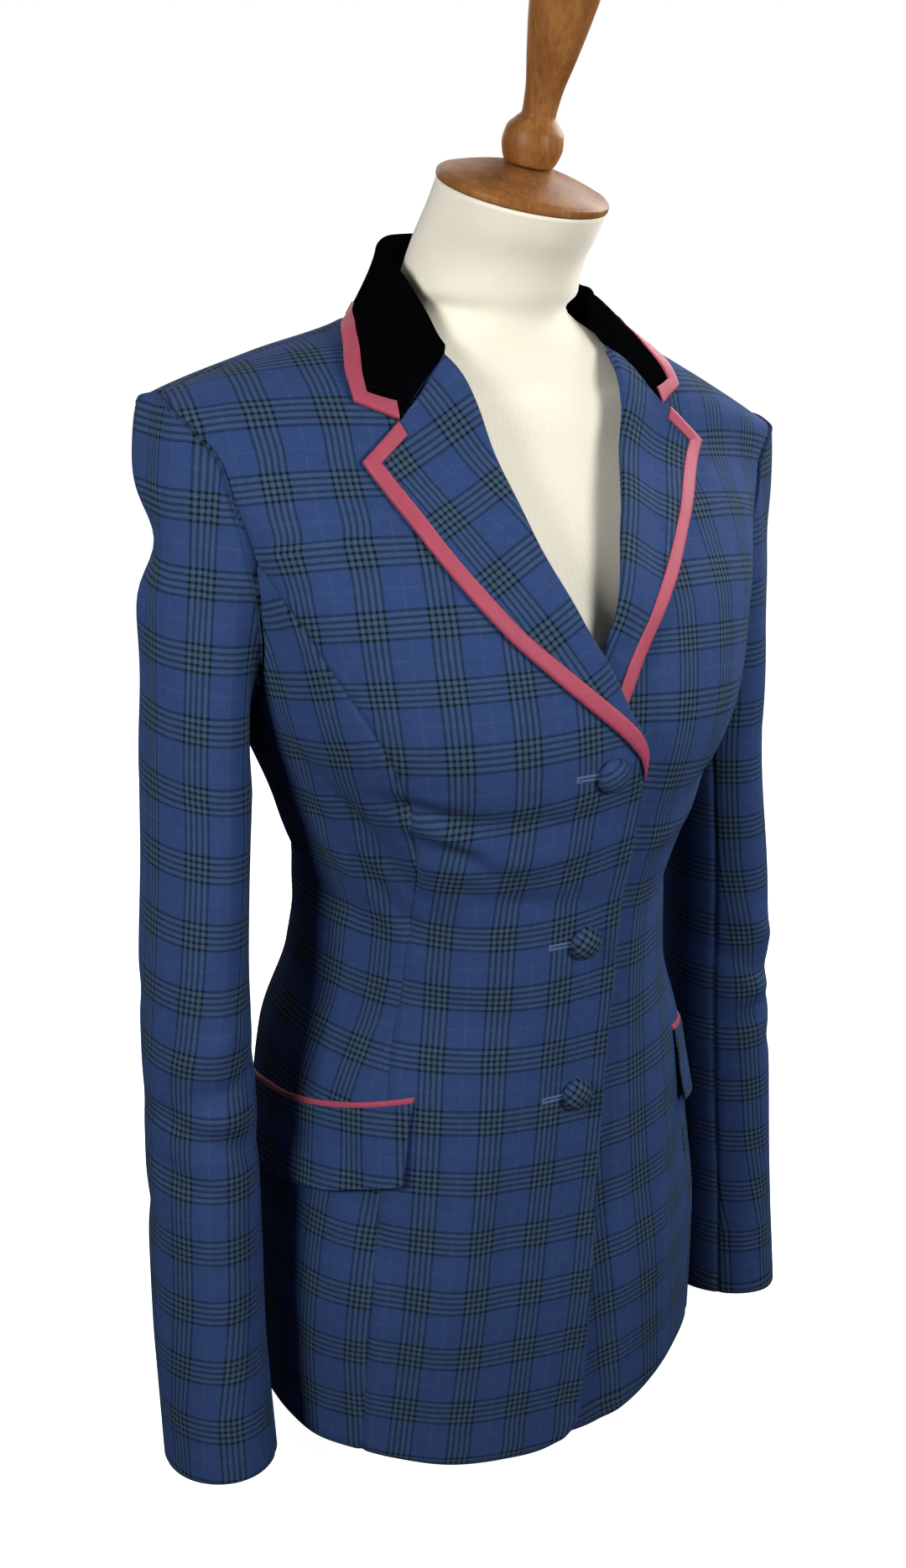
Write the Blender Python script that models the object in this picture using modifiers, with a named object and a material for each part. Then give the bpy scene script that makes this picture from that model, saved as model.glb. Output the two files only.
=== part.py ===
"""A checked hunt coat with a velvet collar, buttoned on a limbless dress form.

Frame: metres, +Z up. The coat faces -Y and its own left side is +X.
The origin is the centre of the form's flat base.
"""
import math

import bmesh
import bpy
import numpy as np
from mathutils import Matrix, Vector

LEFT, RIGHT = 1, -1
SIDES = {"right": RIGHT, "left": LEFT}

# Driving dimensions
WALL = 0.0018                # coat cloth with its interlining
SEAM_GAP = 0.0003            # between two pieces at a seam
NECK_POINT = 0.715           # height where the shoulder seam meets the collar
SHOULDER_TIP = 0.680         # height where the shoulder seam meets the sleeve
BREAK = 0.486                # height where the lapel starts to turn back
GORGE_TOP = 0.694            # height of the lapel's top on its roll line
LAPEL_TIP = 0.646            # height of the lapel's point
HEM_SIDE = {RIGHT: 0.034, LEFT: 0.044}     # height of the hem at each side
HEM_BACK = 0.039             # height of the hem at the centre back
PRINCESS_TURN = 84.0         # place on the armhole where the princess seam starts, degrees
BACK_SEAM_TURN = 276.0       # place on the armhole where the side-back seam starts, degrees
BINDING_WIDTH = 0.008
BINDING_WALL = 0.0010
BUTTON_RADIUS = 0.0102
BUTTON_DOME = 0.0062
BUTTON_RIM = 0.0015
BUTTON_FOOT = 0.94           # radius of the flat underside, as a share of the whole
BUTTON_HEIGHTS = {"top": 0.480, "middle": 0.372, "bottom": 0.271}

# The left shoulder hangs lower than the right one, most at its tip
SHOULDER_SINK = 0.026
SLEEVE_SINK = 0.40           # share of it by which the left cuff hangs lower
SINK_OUT = (0.045, 0.205)    # distances from the middle where it starts and is full
SINK_UP = (0.460, 0.660)     # heights where it starts and is full
SINK_CHEST = -0.020          # depth from which it eases off towards the front of the chest
SINK_EASE = 0.8              # how fast it eases off there


def table(columns, rows):
    """A short table of numbers, by the names of its columns."""
    return dict(zip(columns.split(), np.array(rows, float).T))


# Outer face of the coat: level sections, each a pair of half superellipses
BODY = table("height half_width front back centre front_power back_power", [
    (0.000, 0.155, 0.133, 0.120, 0.000, 2.5, 2.3),
    (0.030, 0.155, 0.133, 0.120, 0.000, 2.5, 2.3),
    (0.120, 0.154, 0.133, 0.121, 0.000, 2.5, 2.3),
    (0.200, 0.146, 0.130, 0.121, 0.000, 2.4, 2.3),
    (0.270, 0.137, 0.130, 0.116, 0.000, 2.3, 2.3),
    (0.330, 0.119, 0.132, 0.093, 0.000, 2.2, 2.3),
    (0.380, 0.115, 0.135, 0.077, 0.000, 2.2, 2.3),
    (0.430, 0.126, 0.145, 0.077, 0.000, 2.3, 2.3),
    (0.500, 0.153, 0.158, 0.086, 0.000, 2.5, 2.3),
    (0.560, 0.168, 0.146, 0.093, 0.000, 2.5, 2.3),
    (0.610, 0.186, 0.112, 0.096, -0.004, 2.4, 2.3),
    (0.646, 0.209, 0.080, 0.087, -0.007, 2.2, 2.2),
    (0.668, 0.218, 0.069, 0.075, -0.008, 2.2, 2.2),
    (SHOULDER_TIP, 0.196, 0.063, 0.068, -0.008, 2.2, 2.2),
    (0.699, 0.138, 0.051, 0.057, -0.005, 2.2, 2.2),
    (NECK_POINT, 0.080, 0.042, 0.047, 0.000, 2.2, 2.2),
    (0.740, 0.055, 0.040, 0.042, 0.000, 2.2, 2.2)])

# Front edge and roll line: distance from the centre front, towards the piece's own side
FRONT_EDGE = table("height right left", [
    (0.026, -0.004, -0.004), (0.040, -0.009, -0.009), (0.120, -0.014, -0.014), (0.250, -0.020, -0.020),
    (0.400, -0.025, -0.025), (BREAK, -0.022, -0.022), (0.515, -0.006, -0.015), (0.540, 0.007, -0.006),
    (0.565, 0.021, 0.006), (0.600, 0.034, 0.022), (0.645, 0.041, 0.045), (0.670, 0.045, 0.053),
    (GORGE_TOP, 0.053, 0.056), (NECK_POINT, 0.080, 0.080)])

# Princess seam, below the armhole
PRINCESS = table("height x", [
    (0.030, 0.128), (0.110, 0.124), (0.220, 0.113), (0.280, 0.106), (0.346, 0.094), (0.390, 0.091),
    (0.420, 0.093), (0.457, 0.102), (0.503, 0.121), (0.546, 0.142), (0.570, 0.153), (0.600, 0.168)])

# Side-back seam: its turn about the body, 90 at the side and 180 at the centre back
SIDE_BACK = table("height turn", [
    (0.030, 118.0), (0.200, 120.0), (0.380, 124.0), (0.500, 122.0), (0.600, 114.0)])

# Hem, out from the front corner
HEM = table("x right left", [
    (-0.004, 0.027, 0.026), (0.004, 0.021, 0.022), (0.020, 0.019, 0.021), (0.050, 0.022, 0.026),
    (0.085, 0.026, 0.036), (0.128, HEM_SIDE[RIGHT], HEM_SIDE[LEFT])])

# Armhole seen from the side: the turn runs from the shoulder tip to the front, underarm and back
ARMHOLE = table("turn y height", [
    (0.0, -0.008, SHOULDER_TIP), (30.0, -0.042, 0.669), (60.0, -0.055, 0.632), (90.0, -0.059, 0.595),
    (120.0, -0.054, 0.555), (150.0, -0.034, 0.518), (180.0, 0.000, 0.503), (210.0, 0.034, 0.520),
    (240.0, 0.052, 0.558), (270.0, 0.057, 0.600), (300.0, 0.052, 0.640), (330.0, 0.033, 0.669),
    (360.0, -0.008, SHOULDER_TIP)])

# Sleeve below the armhole: level oval sections
SLEEVE = table("height x y half_width half_depth", [
    (0.029, 0.2015, -0.039, 0.0340, 0.0445), (0.100, 0.2015, -0.031, 0.0330, 0.0450),
    (0.180, 0.1990, -0.024, 0.0325, 0.0460), (0.260, 0.1960, -0.018, 0.0315, 0.0465),
    (0.340, 0.1940, -0.013, 0.0295, 0.0475), (0.420, 0.1880, -0.009, 0.0280, 0.0490),
    (0.460, 0.1850, -0.007, 0.0285, 0.0500)])

# Sleeve head: how each line of the sleeve leaves the armhole and falls to the first level section
SLEEVE_HEAD = table("turn along out start arrive", [
    (0.0, 1.00, 0.30, 0.030, 0.260), (45.0, 0.95, 0.35, 0.008, 0.190), (90.0, 0.80, 0.60, 0.020, 0.110),
    (135.0, 0.20, 1.00, 0.030, 0.060), (180.0, -0.25, 1.00, 0.020, 0.045),
    (225.0, 0.20, 1.00, 0.030, 0.060), (270.0, 0.80, 0.60, 0.016, 0.110),
    (315.0, 0.95, 0.35, 0.010, 0.220), (360.0, 1.00, 0.30, 0.030, 0.260)])

# Folds that the sleeves keep: a trough is negative
SLEEVE_FOLDS = table("turn height turn_size height_size lean depth", [
    (320.0, 0.601, 45.0, 0.022, 0.000, -0.0160), (330.0, 0.530, 50.0, 0.040, 0.000, -0.0030),
    (85.0, 0.290, 55.0, 0.010, 0.010, -0.0030), (100.0, 0.255, 50.0, 0.010, -0.012, -0.0035),
    (20.0, 0.270, 40.0, 0.009, 0.008, -0.0025), (60.0, 0.440, 30.0, 0.050, 0.000, -0.0020),
    (330.0, 0.200, 40.0, 0.014, -0.008, -0.0020)])

# Collar fold and outer edge about the neck: a turn is 0 at the centre back and 90 over the shoulder
COLLAR = table("share fold_turn fold_radius fold_height edge_turn edge_radius edge_height stand", [
    (0.00, 0.0, 0.054, 0.761, 0.0, 0.068, 0.706, 0.028),
    (0.25, 45.0, 0.050, 0.760, 42.0, 0.075, 0.708, 0.028),
    (0.50, 80.0, 0.056, 0.753, 75.0, 0.084, 0.717, 0.021),
    (0.70, 108.0, 0.066, 0.743, 97.0, 0.092, 0.715, 0.020),
    (0.87, 127.0, 0.070, 0.718, 109.0, 0.107, 0.704, 0.004),
    (0.94, 134.0, 0.076, 0.707, 116.5, 0.121, 0.690, 0.002)])


def smooth(at, places, values):
    """A curve through the values that never overshoots them."""
    at = np.asarray(at, float)
    step = np.diff(places)
    rise = np.diff(values) / step
    both = rise[:-1] * rise[1:]
    inner = np.where(both > 0, 2 * both / np.where(both > 0, rise[:-1] + rise[1:], 1), 0)
    slope = np.concatenate([rise[:1], inner, rise[-1:]])
    i = np.clip(np.searchsorted(places, at) - 1, 0, len(step) - 1)
    t = np.clip((at - places[i]) / step[i], 0, 1)
    ease = t * t * (3 - 2 * t)
    bend = step[i] * t * (1 - t) * (slope[i] * (1 - t) - slope[i + 1] * t)
    return values[i] + (values[i + 1] - values[i]) * ease + bend


def read(rows, key, at, *columns):
    """Columns of a table where its key column has the given values."""
    values = [smooth(at, rows[key], rows[name]) for name in columns]
    return values if len(values) > 1 else values[0]


def step_up(value, low, high):
    """A soft step from 0 at low to 1 at high."""
    t = np.clip((np.asarray(value, float) - low) / (high - low), 0, 1)
    return t * t * (3 - 2 * t)


def unit(vectors):
    """Vectors scaled to length one."""
    return vectors / np.linalg.norm(vectors, axis=-1, keepdims=True)


def lifted(place, a, b, lift):
    """Points of a surface place(a, b), moved out along its normal."""
    small = 1e-4
    across = place(a + small, b) - place(a - small, b)
    along = place(a, b + small) - place(a, b - small)
    return place(a, b) + unit(np.cross(across, along)) * np.asarray(lift, float)[..., None]


def body(turn, height, lift=0.0):
    """Points of the coat's outer face, by their turn in radians from the centre front to the left."""
    turn, height = np.broadcast_arrays(np.asarray(turn, float), np.asarray(height, float))

    def place(turn, height):
        half, front, back, centre, front_power, back_power = read(
            BODY, "height", height, "half_width", "front", "back", "centre", "front_power", "back_power")
        ahead = np.cos(turn) > 0
        power = 2 / np.where(ahead, front_power, back_power)
        x = half * np.sign(np.sin(turn)) * np.abs(np.sin(turn)) ** power
        y = np.where(ahead, -front, back) * np.abs(np.cos(turn)) ** power
        return np.stack([x, centre + y, height], -1)

    return lifted(place, turn, height, np.broadcast_to(lift, turn.shape))


def turn_at_x(x, height, face):
    """Turn of the body point at a distance from its middle plane, on the front (-1) or the back (1)."""
    half, power = read(BODY, "height", height, "half_width", "front_power" if face < 0 else "back_power")
    turn = np.arcsin(np.clip(np.abs(x) / half, 0, 1) ** (power / 2))
    return np.sign(x) * (turn if face < 0 else math.pi - turn)


def turn_at_y(y, height):
    """Turn of the left body point at a depth y."""
    front, back, centre, front_power, back_power = read(
        BODY, "height", height, "front", "back", "centre", "front_power", "back_power")
    ahead = y < centre
    share = np.clip(np.abs(y - centre) / np.where(ahead, front, back), 0, 1)
    turn = np.arccos(share ** (np.where(ahead, front_power, back_power) / 2))
    return np.where(ahead, turn, math.pi - turn)


def armhole(turn):
    """Body turn and height of points round the armhole."""
    y, height = read(ARMHOLE, "turn", turn, "y", "height")
    return turn_at_y(y, height), height


def patch(left, right, bottom, top, across, along):
    """A flat patch between four edges: rows run along left and right, columns along bottom and top."""
    s, t = across[None, :, None], along[:, None, None]
    sides = (1 - s) * left[:, None] + s * right[:, None]
    ends = (1 - t) * bottom[None] + t * top[None]
    corners = ((1 - s) * (1 - t) * left[0] + s * (1 - t) * right[0]
               + (1 - s) * t * left[-1] + s * t * right[-1])
    return sides + ends - corners


def trimmed(grid, edges, amount=SEAM_GAP):
    """A grid with the named edges drawn back to leave room at a seam."""
    grid = grid.copy()
    for edge in edges:
        view = {"left": grid, "right": grid[:, ::-1], "bottom": grid.swapaxes(0, 1),
                "top": grid[::-1].swapaxes(0, 1)}[edge]
        view[:, 0] += unit(view[:, 1] - view[:, 0]) * amount
    return grid


def sunk(grid, least=0.0):
    """Points let down where a shoulder sinks, below its tip by no less than a share of the whole."""
    spread = np.abs(grid[..., 0]) + SINK_EASE * np.minimum(grid[..., 1] - SINK_CHEST, 0)
    out = step_up(spread, *SINK_OUT)
    up = least + (1 - least) * step_up(grid[..., 2], *SINK_UP)
    return grid - np.stack([0 * out, 0 * out, SHOULDER_SINK * out * up], -1)


def sided(grid, hand, least=0.0):
    """Left-hand points with their sunk shoulder, or the same points unsunk on the right."""
    return sunk(grid, least) if hand == LEFT else grid * np.array([-1, 1, 1])


# Rows and columns of the panels
LOW_ROWS = 15
HIGH_ROWS = 6
FRONT_COLUMNS = 9
SIDE_COLUMNS = 8
BACK_COLUMNS = 8
PRINCESS_GAP = 1.5 * SEAM_GAP
ROLL_LIFT = 0.006            # how far the soft roll line stands off the chest
ROLL_WIDTH = 0.030
ROLL_START = {RIGHT: BREAK - 0.010, LEFT: 0.530}
ROLL_FULL = 0.580
ROLL_FADE = 0.680
LAP_ROOM = WALL + 4 * SEAM_GAP
LAP_WIDTH = (0.026, 0.045)   # distances from the middle over which the left front comes out of the lap
LAP_TOP = (0.530, 0.575)     # heights over which it does
NECK_RISE = 0.006            # rise of the back neckline above the shoulder seams
NECK_CURVE = (0.5, 0.8)      # half way along that neckline, the share of the rise it still has
ARMHOLE_EASE = 0.450         # height from which the side-back seam bends to the armhole


def column(hand):
    """Name of the column that holds a side's own values."""
    return "left" if hand == LEFT else "right"


def princess_rows(hand):
    """Heights of the rows below the princess seam's top."""
    top = armhole(PRINCESS_TURN)[1]
    return np.linspace(HEM_SIDE[hand], float(top), LOW_ROWS)


def seam_x(turn, height):
    """Distance of seam points from the middle plane."""
    return body(turn, height)[..., 0]


def ridge(share):
    """Distance from the middle and height along the shoulder seam, from the neck to the tip."""
    height = NECK_POINT + (SHOULDER_TIP - NECK_POINT) * share
    return read(BODY, "height", height, "half_width"), height


def roll_x(height, hand):
    """Distance of the front edge and roll line from the centre front, on a piece's own side."""
    return read(FRONT_EDGE, "height", height, column(hand))


def front_lift(x, height, hand):
    """How far a front stands off the body: out at its roll line, and in where the right front laps it."""
    near_roll = 1 - step_up(x - roll_x(height, hand), 0, ROLL_WIDTH)
    rolled = step_up(height, ROLL_START[hand], ROLL_FULL) * (1 - step_up(height, ROLL_FADE, NECK_POINT))
    lift = ROLL_LIFT * near_roll * rolled
    if hand == LEFT:
        lift = lift - LAP_ROOM * (1 - step_up(x, *LAP_WIDTH)) * (1 - step_up(height, *LAP_TOP))
    return lift


def front_panel(hand):
    """Front from its edge and roll line to the princess seam, armhole and shoulder seam."""
    low = princess_rows(hand)
    turns = np.linspace(PRINCESS_TURN, 0, HIGH_ROWS + 1)[1:]
    arm_turn, arm_height = armhole(turns)
    outer = np.concatenate([np.stack([read(PRINCESS, "height", low, "x"), low], -1),
                            np.stack([seam_x(arm_turn, arm_height), arm_height], -1)])
    outer[LOW_ROWS - 1, 0] = seam_x(*armhole(PRINCESS_TURN))
    match = table("outer inner", [(low[0], FRONT_EDGE["height"][0]), (BREAK, BREAK), (low[-1], 0.630),
                                  (0.640, 0.676), (0.667, 0.706), (SHOULDER_TIP, NECK_POINT)])
    inner_height = read(match, "outer", outer[:, 1], "inner")
    inner = np.stack([roll_x(inner_height, hand), inner_height], -1)
    across = np.linspace(0, 1, FRONT_COLUMNS) ** 1.15
    along = (inner_height - inner_height[0]) / np.ptp(inner_height)
    hem_x = inner[0, 0] + (outer[0, 0] - inner[0, 0]) * across ** 1.3
    hem = np.stack([hem_x, read(HEM, "x", hem_x, column(hand))], -1)
    shoulder = np.stack(ridge(across), -1)
    x, height = np.moveaxis(patch(inner, outer, hem, shoulder, across, along), -1, 0)
    grid = body(turn_at_x(x, height, -1), height, front_lift(x, height, hand))
    grid = trimmed(trimmed(grid, ("right",), PRINCESS_GAP), ("top",))
    return sided(grid, hand)


def side_back_edge(hand):
    """Turn and height down the side-back seam, from the hem to the armhole."""
    top_turn, top_height = armhole(BACK_SEAM_TURN)
    height = np.linspace(HEM_SIDE[hand], float(top_height), LOW_ROWS)
    turn = np.radians(read(SIDE_BACK, "height", height, "turn"))
    return turn + (top_turn - turn[-1]) * step_up(height, ARMHOLE_EASE, height[-1]), height


def side_panel(hand):
    """Side from the princess seam under the arm to the side-back seam."""
    low = princess_rows(hand)
    front_x = read(PRINCESS, "height", low, "x")
    front_x[-1] = seam_x(*armhole(PRINCESS_TURN))
    left = np.stack([turn_at_x(front_x, low, -1), low], -1)
    right = np.stack(side_back_edge(hand), -1)
    across = np.linspace(0, 1, SIDE_COLUMNS + 1)
    along = (low - low[0]) / np.ptp(low)
    top = np.stack(armhole(PRINCESS_TURN + (BACK_SEAM_TURN - PRINCESS_TURN) * across), -1)
    hem = np.stack([left[0, 0] + (right[0, 0] - left[0, 0]) * across, np.full_like(across, low[0])], -1)
    turn, height = np.moveaxis(patch(left, right, hem, top, across, along), -1, 0)
    grid = trimmed(body(turn, height), ("left", "right"), PRINCESS_GAP)
    return sided(trimmed(grid, ("top",)), hand)


def back_panel(hand):
    """Half back from the centre seam to the side-back seam, armhole, shoulder seam and neck."""
    turn, height = side_back_edge(hand)
    arm_turn, arm_height = armhole(np.linspace(BACK_SEAM_TURN, 360, HIGH_ROWS + 1)[1:])
    turn, height = np.concatenate([turn, arm_turn]), np.concatenate([height, arm_height])
    outer = np.stack([seam_x(turn, height), height], -1)
    match = table("outer inner", [(height[0], HEM_BACK), (0.600, 0.640), (0.640, 0.690), (0.667, 0.716),
                                  (SHOULDER_TIP, NECK_POINT + NECK_RISE)])
    middle_height = read(match, "outer", height, "inner")
    middle = np.stack([np.zeros_like(middle_height), middle_height], -1)
    across = np.linspace(0, 1, BACK_COLUMNS)
    along = (middle_height - middle_height[0]) / np.ptp(middle_height)
    hem = np.stack([outer[0, 0] * across, HEM_BACK + (height[0] - HEM_BACK) * across], -1)
    ridge_x, ridge_height = ridge(np.linspace(0, 1, 30))
    neck_height = NECK_POINT + NECK_CURVE[1] * NECK_RISE
    crest_x = np.concatenate([[0, NECK_CURVE[0] * ridge_x[0]], ridge_x])
    crest_height = np.concatenate([[middle_height[-1], neck_height], ridge_height])
    top_x = outer[-1, 0] * across
    top = np.stack([top_x, np.interp(top_x, crest_x, crest_height)], -1)
    x, height = np.moveaxis(patch(middle, outer, hem, top, across, along), -1, 0)
    grid = body(turn_at_x(np.maximum(x, 1e-6), height, 1), height)
    return sided(trimmed(grid, ("left", "right", "top")), hand)


# Sleeve seams, by their turn about the sleeve, and its rows
FRONT_SLEEVE_SEAM = 140.0
BACK_SLEEVE_SEAM = 262.0
SLEEVE_GAP = 3 * SEAM_GAP
TOP_COLUMNS = 18
UNDER_COLUMNS = 8
HEAD_ROWS = 7
CUFF_SLANT = 0.20            # rise of the cuff from its back to its front, per length
SLANT_TOP = 0.260            # height where the sleeve's sections are level again
ARM_ROWS = 11


def fold_depth(turn, height, folds):
    """How far the folds move points of a sleeve in or out."""
    depth = np.zeros(np.broadcast(turn, height).shape)
    for k in range(len(folds["turn"])):
        aside = (turn - folds["turn"][k] + 180) % 360 - 180
        wide = aside / folds["turn_size"][k]
        middle = folds["height"][k] + folds["lean"][k] * np.radians(aside)
        tall = (height - middle) / folds["height_size"][k]
        depth = depth + folds["depth"][k] * np.exp(-wide ** 2 - tall ** 2)
    return depth


def sleeve(turn, hand):
    """Sleeve lines at the given turns: rows from the armhole to the cuff, columns round the sleeve."""
    arm_turn, arm_height = armhole(turn % 360)
    start = body(arm_turn, arm_height)
    normal = unit(body(arm_turn, arm_height, 0.001) - start)
    ahead = body(*armhole((turn + 0.5) % 360))
    outward = unit(np.cross(normal, ahead - start))
    along, out, leave, arrive = read(SLEEVE_HEAD, "turn", turn % 360, "along", "out", "start", "arrive")
    direction = unit(outward * along[:, None] + normal * out[:, None])
    start = start + outward * SEAM_GAP + direction * 2 * SEAM_GAP
    angle = np.radians(turn)

    def ring(height):
        x, y, half_width, half_depth = read(SLEEVE, "height", height, "x", "y", "half_width", "half_depth")
        slant = CUFF_SLANT * (1 - step_up(height, SLEEVE["height"][0], SLANT_TOP))
        return np.stack([x + half_width * np.cos(angle), y - half_depth * np.sin(angle),
                         height + slant * half_depth * np.sin(angle)], -1)

    first = ring(SLEEVE["height"][-1])
    rows = []
    for t in np.linspace(0, 1, HEAD_ROWS) ** 1.6:
        ease = t * t * (3 - 2 * t)
        fall = np.array([0, 0, -1.0]) * arrive[:, None]
        rows.append(start + (first - start) * ease + direction * leave[:, None] * t * (1 - t) ** 2
                    - fall * t * t * (1 - t))
    rows += [ring(h) for h in np.linspace(SLEEVE["height"][-1], SLEEVE["height"][0], ARM_ROWS + 1)[1:]]
    grid = np.array(rows)
    depth = fold_depth(turn[None], grid[..., 2], SLEEVE_FOLDS)
    grid = grid + (np.stack([np.cos(angle), -np.sin(angle), 0 * angle], -1))[None] * depth[..., None]
    return sided(grid, hand, SLEEVE_SINK)


def sleeve_piece(start, end, columns, hand):
    """A sleeve between two of its seams."""
    return trimmed(sleeve(np.linspace(start, end, columns), hand), ("left", "right"), SLEEVE_GAP)


def top_sleeve(hand):
    return sleeve_piece(BACK_SLEEVE_SEAM - 360, FRONT_SLEEVE_SEAM, TOP_COLUMNS, hand)


def under_sleeve(hand):
    return sleeve_piece(FRONT_SLEEVE_SEAM, BACK_SLEEVE_SEAM, UNDER_COLUMNS, hand)


# Lapel: outer edge from the break to the point
LAPEL_EDGE = table("height right left", [
    (BREAK, -0.016, -0.016), (0.503, -0.003, -0.004), (0.520, 0.017, 0.008), (0.540, 0.039, 0.020),
    (0.561, 0.060, 0.035), (0.584, 0.077, 0.056), (0.614, 0.094, 0.082), (LAPEL_TIP, 0.110, 0.109)])
LAPEL_WALL = 0.0018
LAPEL_OVER = 0.0032          # how far the lapel's face stands off its front's
NOTCH = 0.60                 # share of the lapel's top edge that is sewn to the collar
LAPEL_START = {RIGHT: 0.05, LEFT: 0.27}    # lowest row of each lapel, as a share of its height


def own_lapel(s, t, hand, lift=0.0):
    """Own-side points of a lapel's outer face: s from its roll line to its edge, t from break to top."""
    s, t = np.broadcast_arrays(np.asarray(s, float), np.asarray(t, float))
    roll_height = BREAK + (GORGE_TOP - BREAK) * t
    edge_height = BREAK + (LAPEL_TIP - BREAK) * t
    edge_x = read(LAPEL_EDGE, "height", edge_height, column(hand))
    x = (1 - s) * roll_x(roll_height, hand) + s * edge_x
    height = (1 - s) * roll_height + s * edge_height
    return body(turn_at_x(x, height, -1), height, front_lift(x, height, hand) + LAPEL_OVER + lift)


def lapel(s, t, hand, lift=0.0):
    return sided(own_lapel(s, t, hand, lift), hand)


def lapel_rows(hand):
    return LAPEL_START[hand] + (1 - LAPEL_START[hand]) * np.linspace(0, 1, 12)


def lapel_panel(hand):
    s = np.linspace(0, 1, 6)
    return lapel(s[None, :], lapel_rows(hand)[:, None], hand)


def strip_shares(width, lengths):
    """A strip's width as a share of each length it is measured across, never more than half of it."""
    return np.minimum(width / lengths, 0.5)


def lapel_binding(hand):
    """Ribbon up the lapel's outer edge and along its free top edge to the notch."""
    t = lapel_rows(hand)
    wide = np.linalg.norm(lapel(1.0, t, hand) - lapel(0.0, t, hand), axis=-1)
    share = strip_shares(BINDING_WIDTH, wide)
    tall = BINDING_WIDTH / np.linalg.norm(lapel(1.0, 1.0, hand) - lapel(1.0, t[0], hand))
    top_s = np.linspace(1, NOTCH + 0.02, 5)[1:]
    outer_s = np.concatenate([np.ones_like(t), top_s])
    outer_t = np.concatenate([t, np.ones_like(top_s)])
    inner_s = np.concatenate([1 - share, np.minimum(top_s, 1 - share[-1])])
    inner_t = np.concatenate([np.minimum(t, 1 - tall), np.full_like(top_s, 1 - tall)])
    lift = BINDING_WALL + 2 * SEAM_GAP
    return np.stack([lapel(inner_s, inner_t, hand, lift), lapel(outer_s, outer_t, hand, lift)], 1)


# Collar: the velvet piece that turns over at its fold
COLLAR_CENTRE = -0.005
COLLAR_WALL = 0.0018
COLLAR_CROWN = 0.0020        # fullness of the fall between its fold and edge
COLLAR_FOLD = 0.0036         # radius of the turned fold
COLLAR_TIP = np.array([0.109, -0.070, 0.6755])
COLLAR_SINK = 0.012          # how much lower the fold lies on the left
SINK_SHARES = (0.20, 0.60)   # shares of the collar where it sinks there, and where it is level again
RISE_SHARES = (0.65, 0.90)
LEAST_STAND = 0.0005
LAID_SHARES = (0.75, 1.0)    # shares over which the collar turns to lie as the lapel does
NOTCH_SHARES = (0.85, 1.0)   # shares over which its middle is drawn to the notch
COLLAR_AHEAD = COLLAR_CENTRE - 0.020       # depth from which it lies on the fronts
COLLAR_END = 0.986           # share where the velvet stops, clear of the lapel
COLLAR_SHARES = COLLAR_END * (1 - (1 - np.linspace(0, 1, 14)) ** 1.3)
STAND_TOP = 0.20             # places across the collar: top of the stand, outer side of the fold, the notch
FALL_TOP = 0.40
COLLAR_NOTCH = 0.62
BINDING_ACROSS = 0.90        # place of the ribbon's inner edge across the collar
COLLAR_BINDING_GAP = 6 * SEAM_GAP
BINDING_SHARE = 0.026        # its width along the collar, at the ends
COLLAR_ACROSS = np.array([0, 0.1, STAND_TOP, 0.25, 0.3, 0.35, FALL_TOP, 0.51, COLLAR_NOTCH, 0.8, 1.0])


def clear_of_front(points, room, hand):
    """Own-side points moved out where they lie nearer than some room to a front's face."""
    x, height = points[..., 0], points[..., 2]
    turn = turn_at_x(x, height, -1)
    face = body(turn, height)
    normal = unit(body(turn, height, 0.001) - face)
    short = room + front_lift(x, height, hand) - ((points - face) * normal).sum(-1)
    ahead = points[..., 1] < COLLAR_AHEAD
    return points + normal * (np.maximum(short, 0) * ahead)[..., None]


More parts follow.
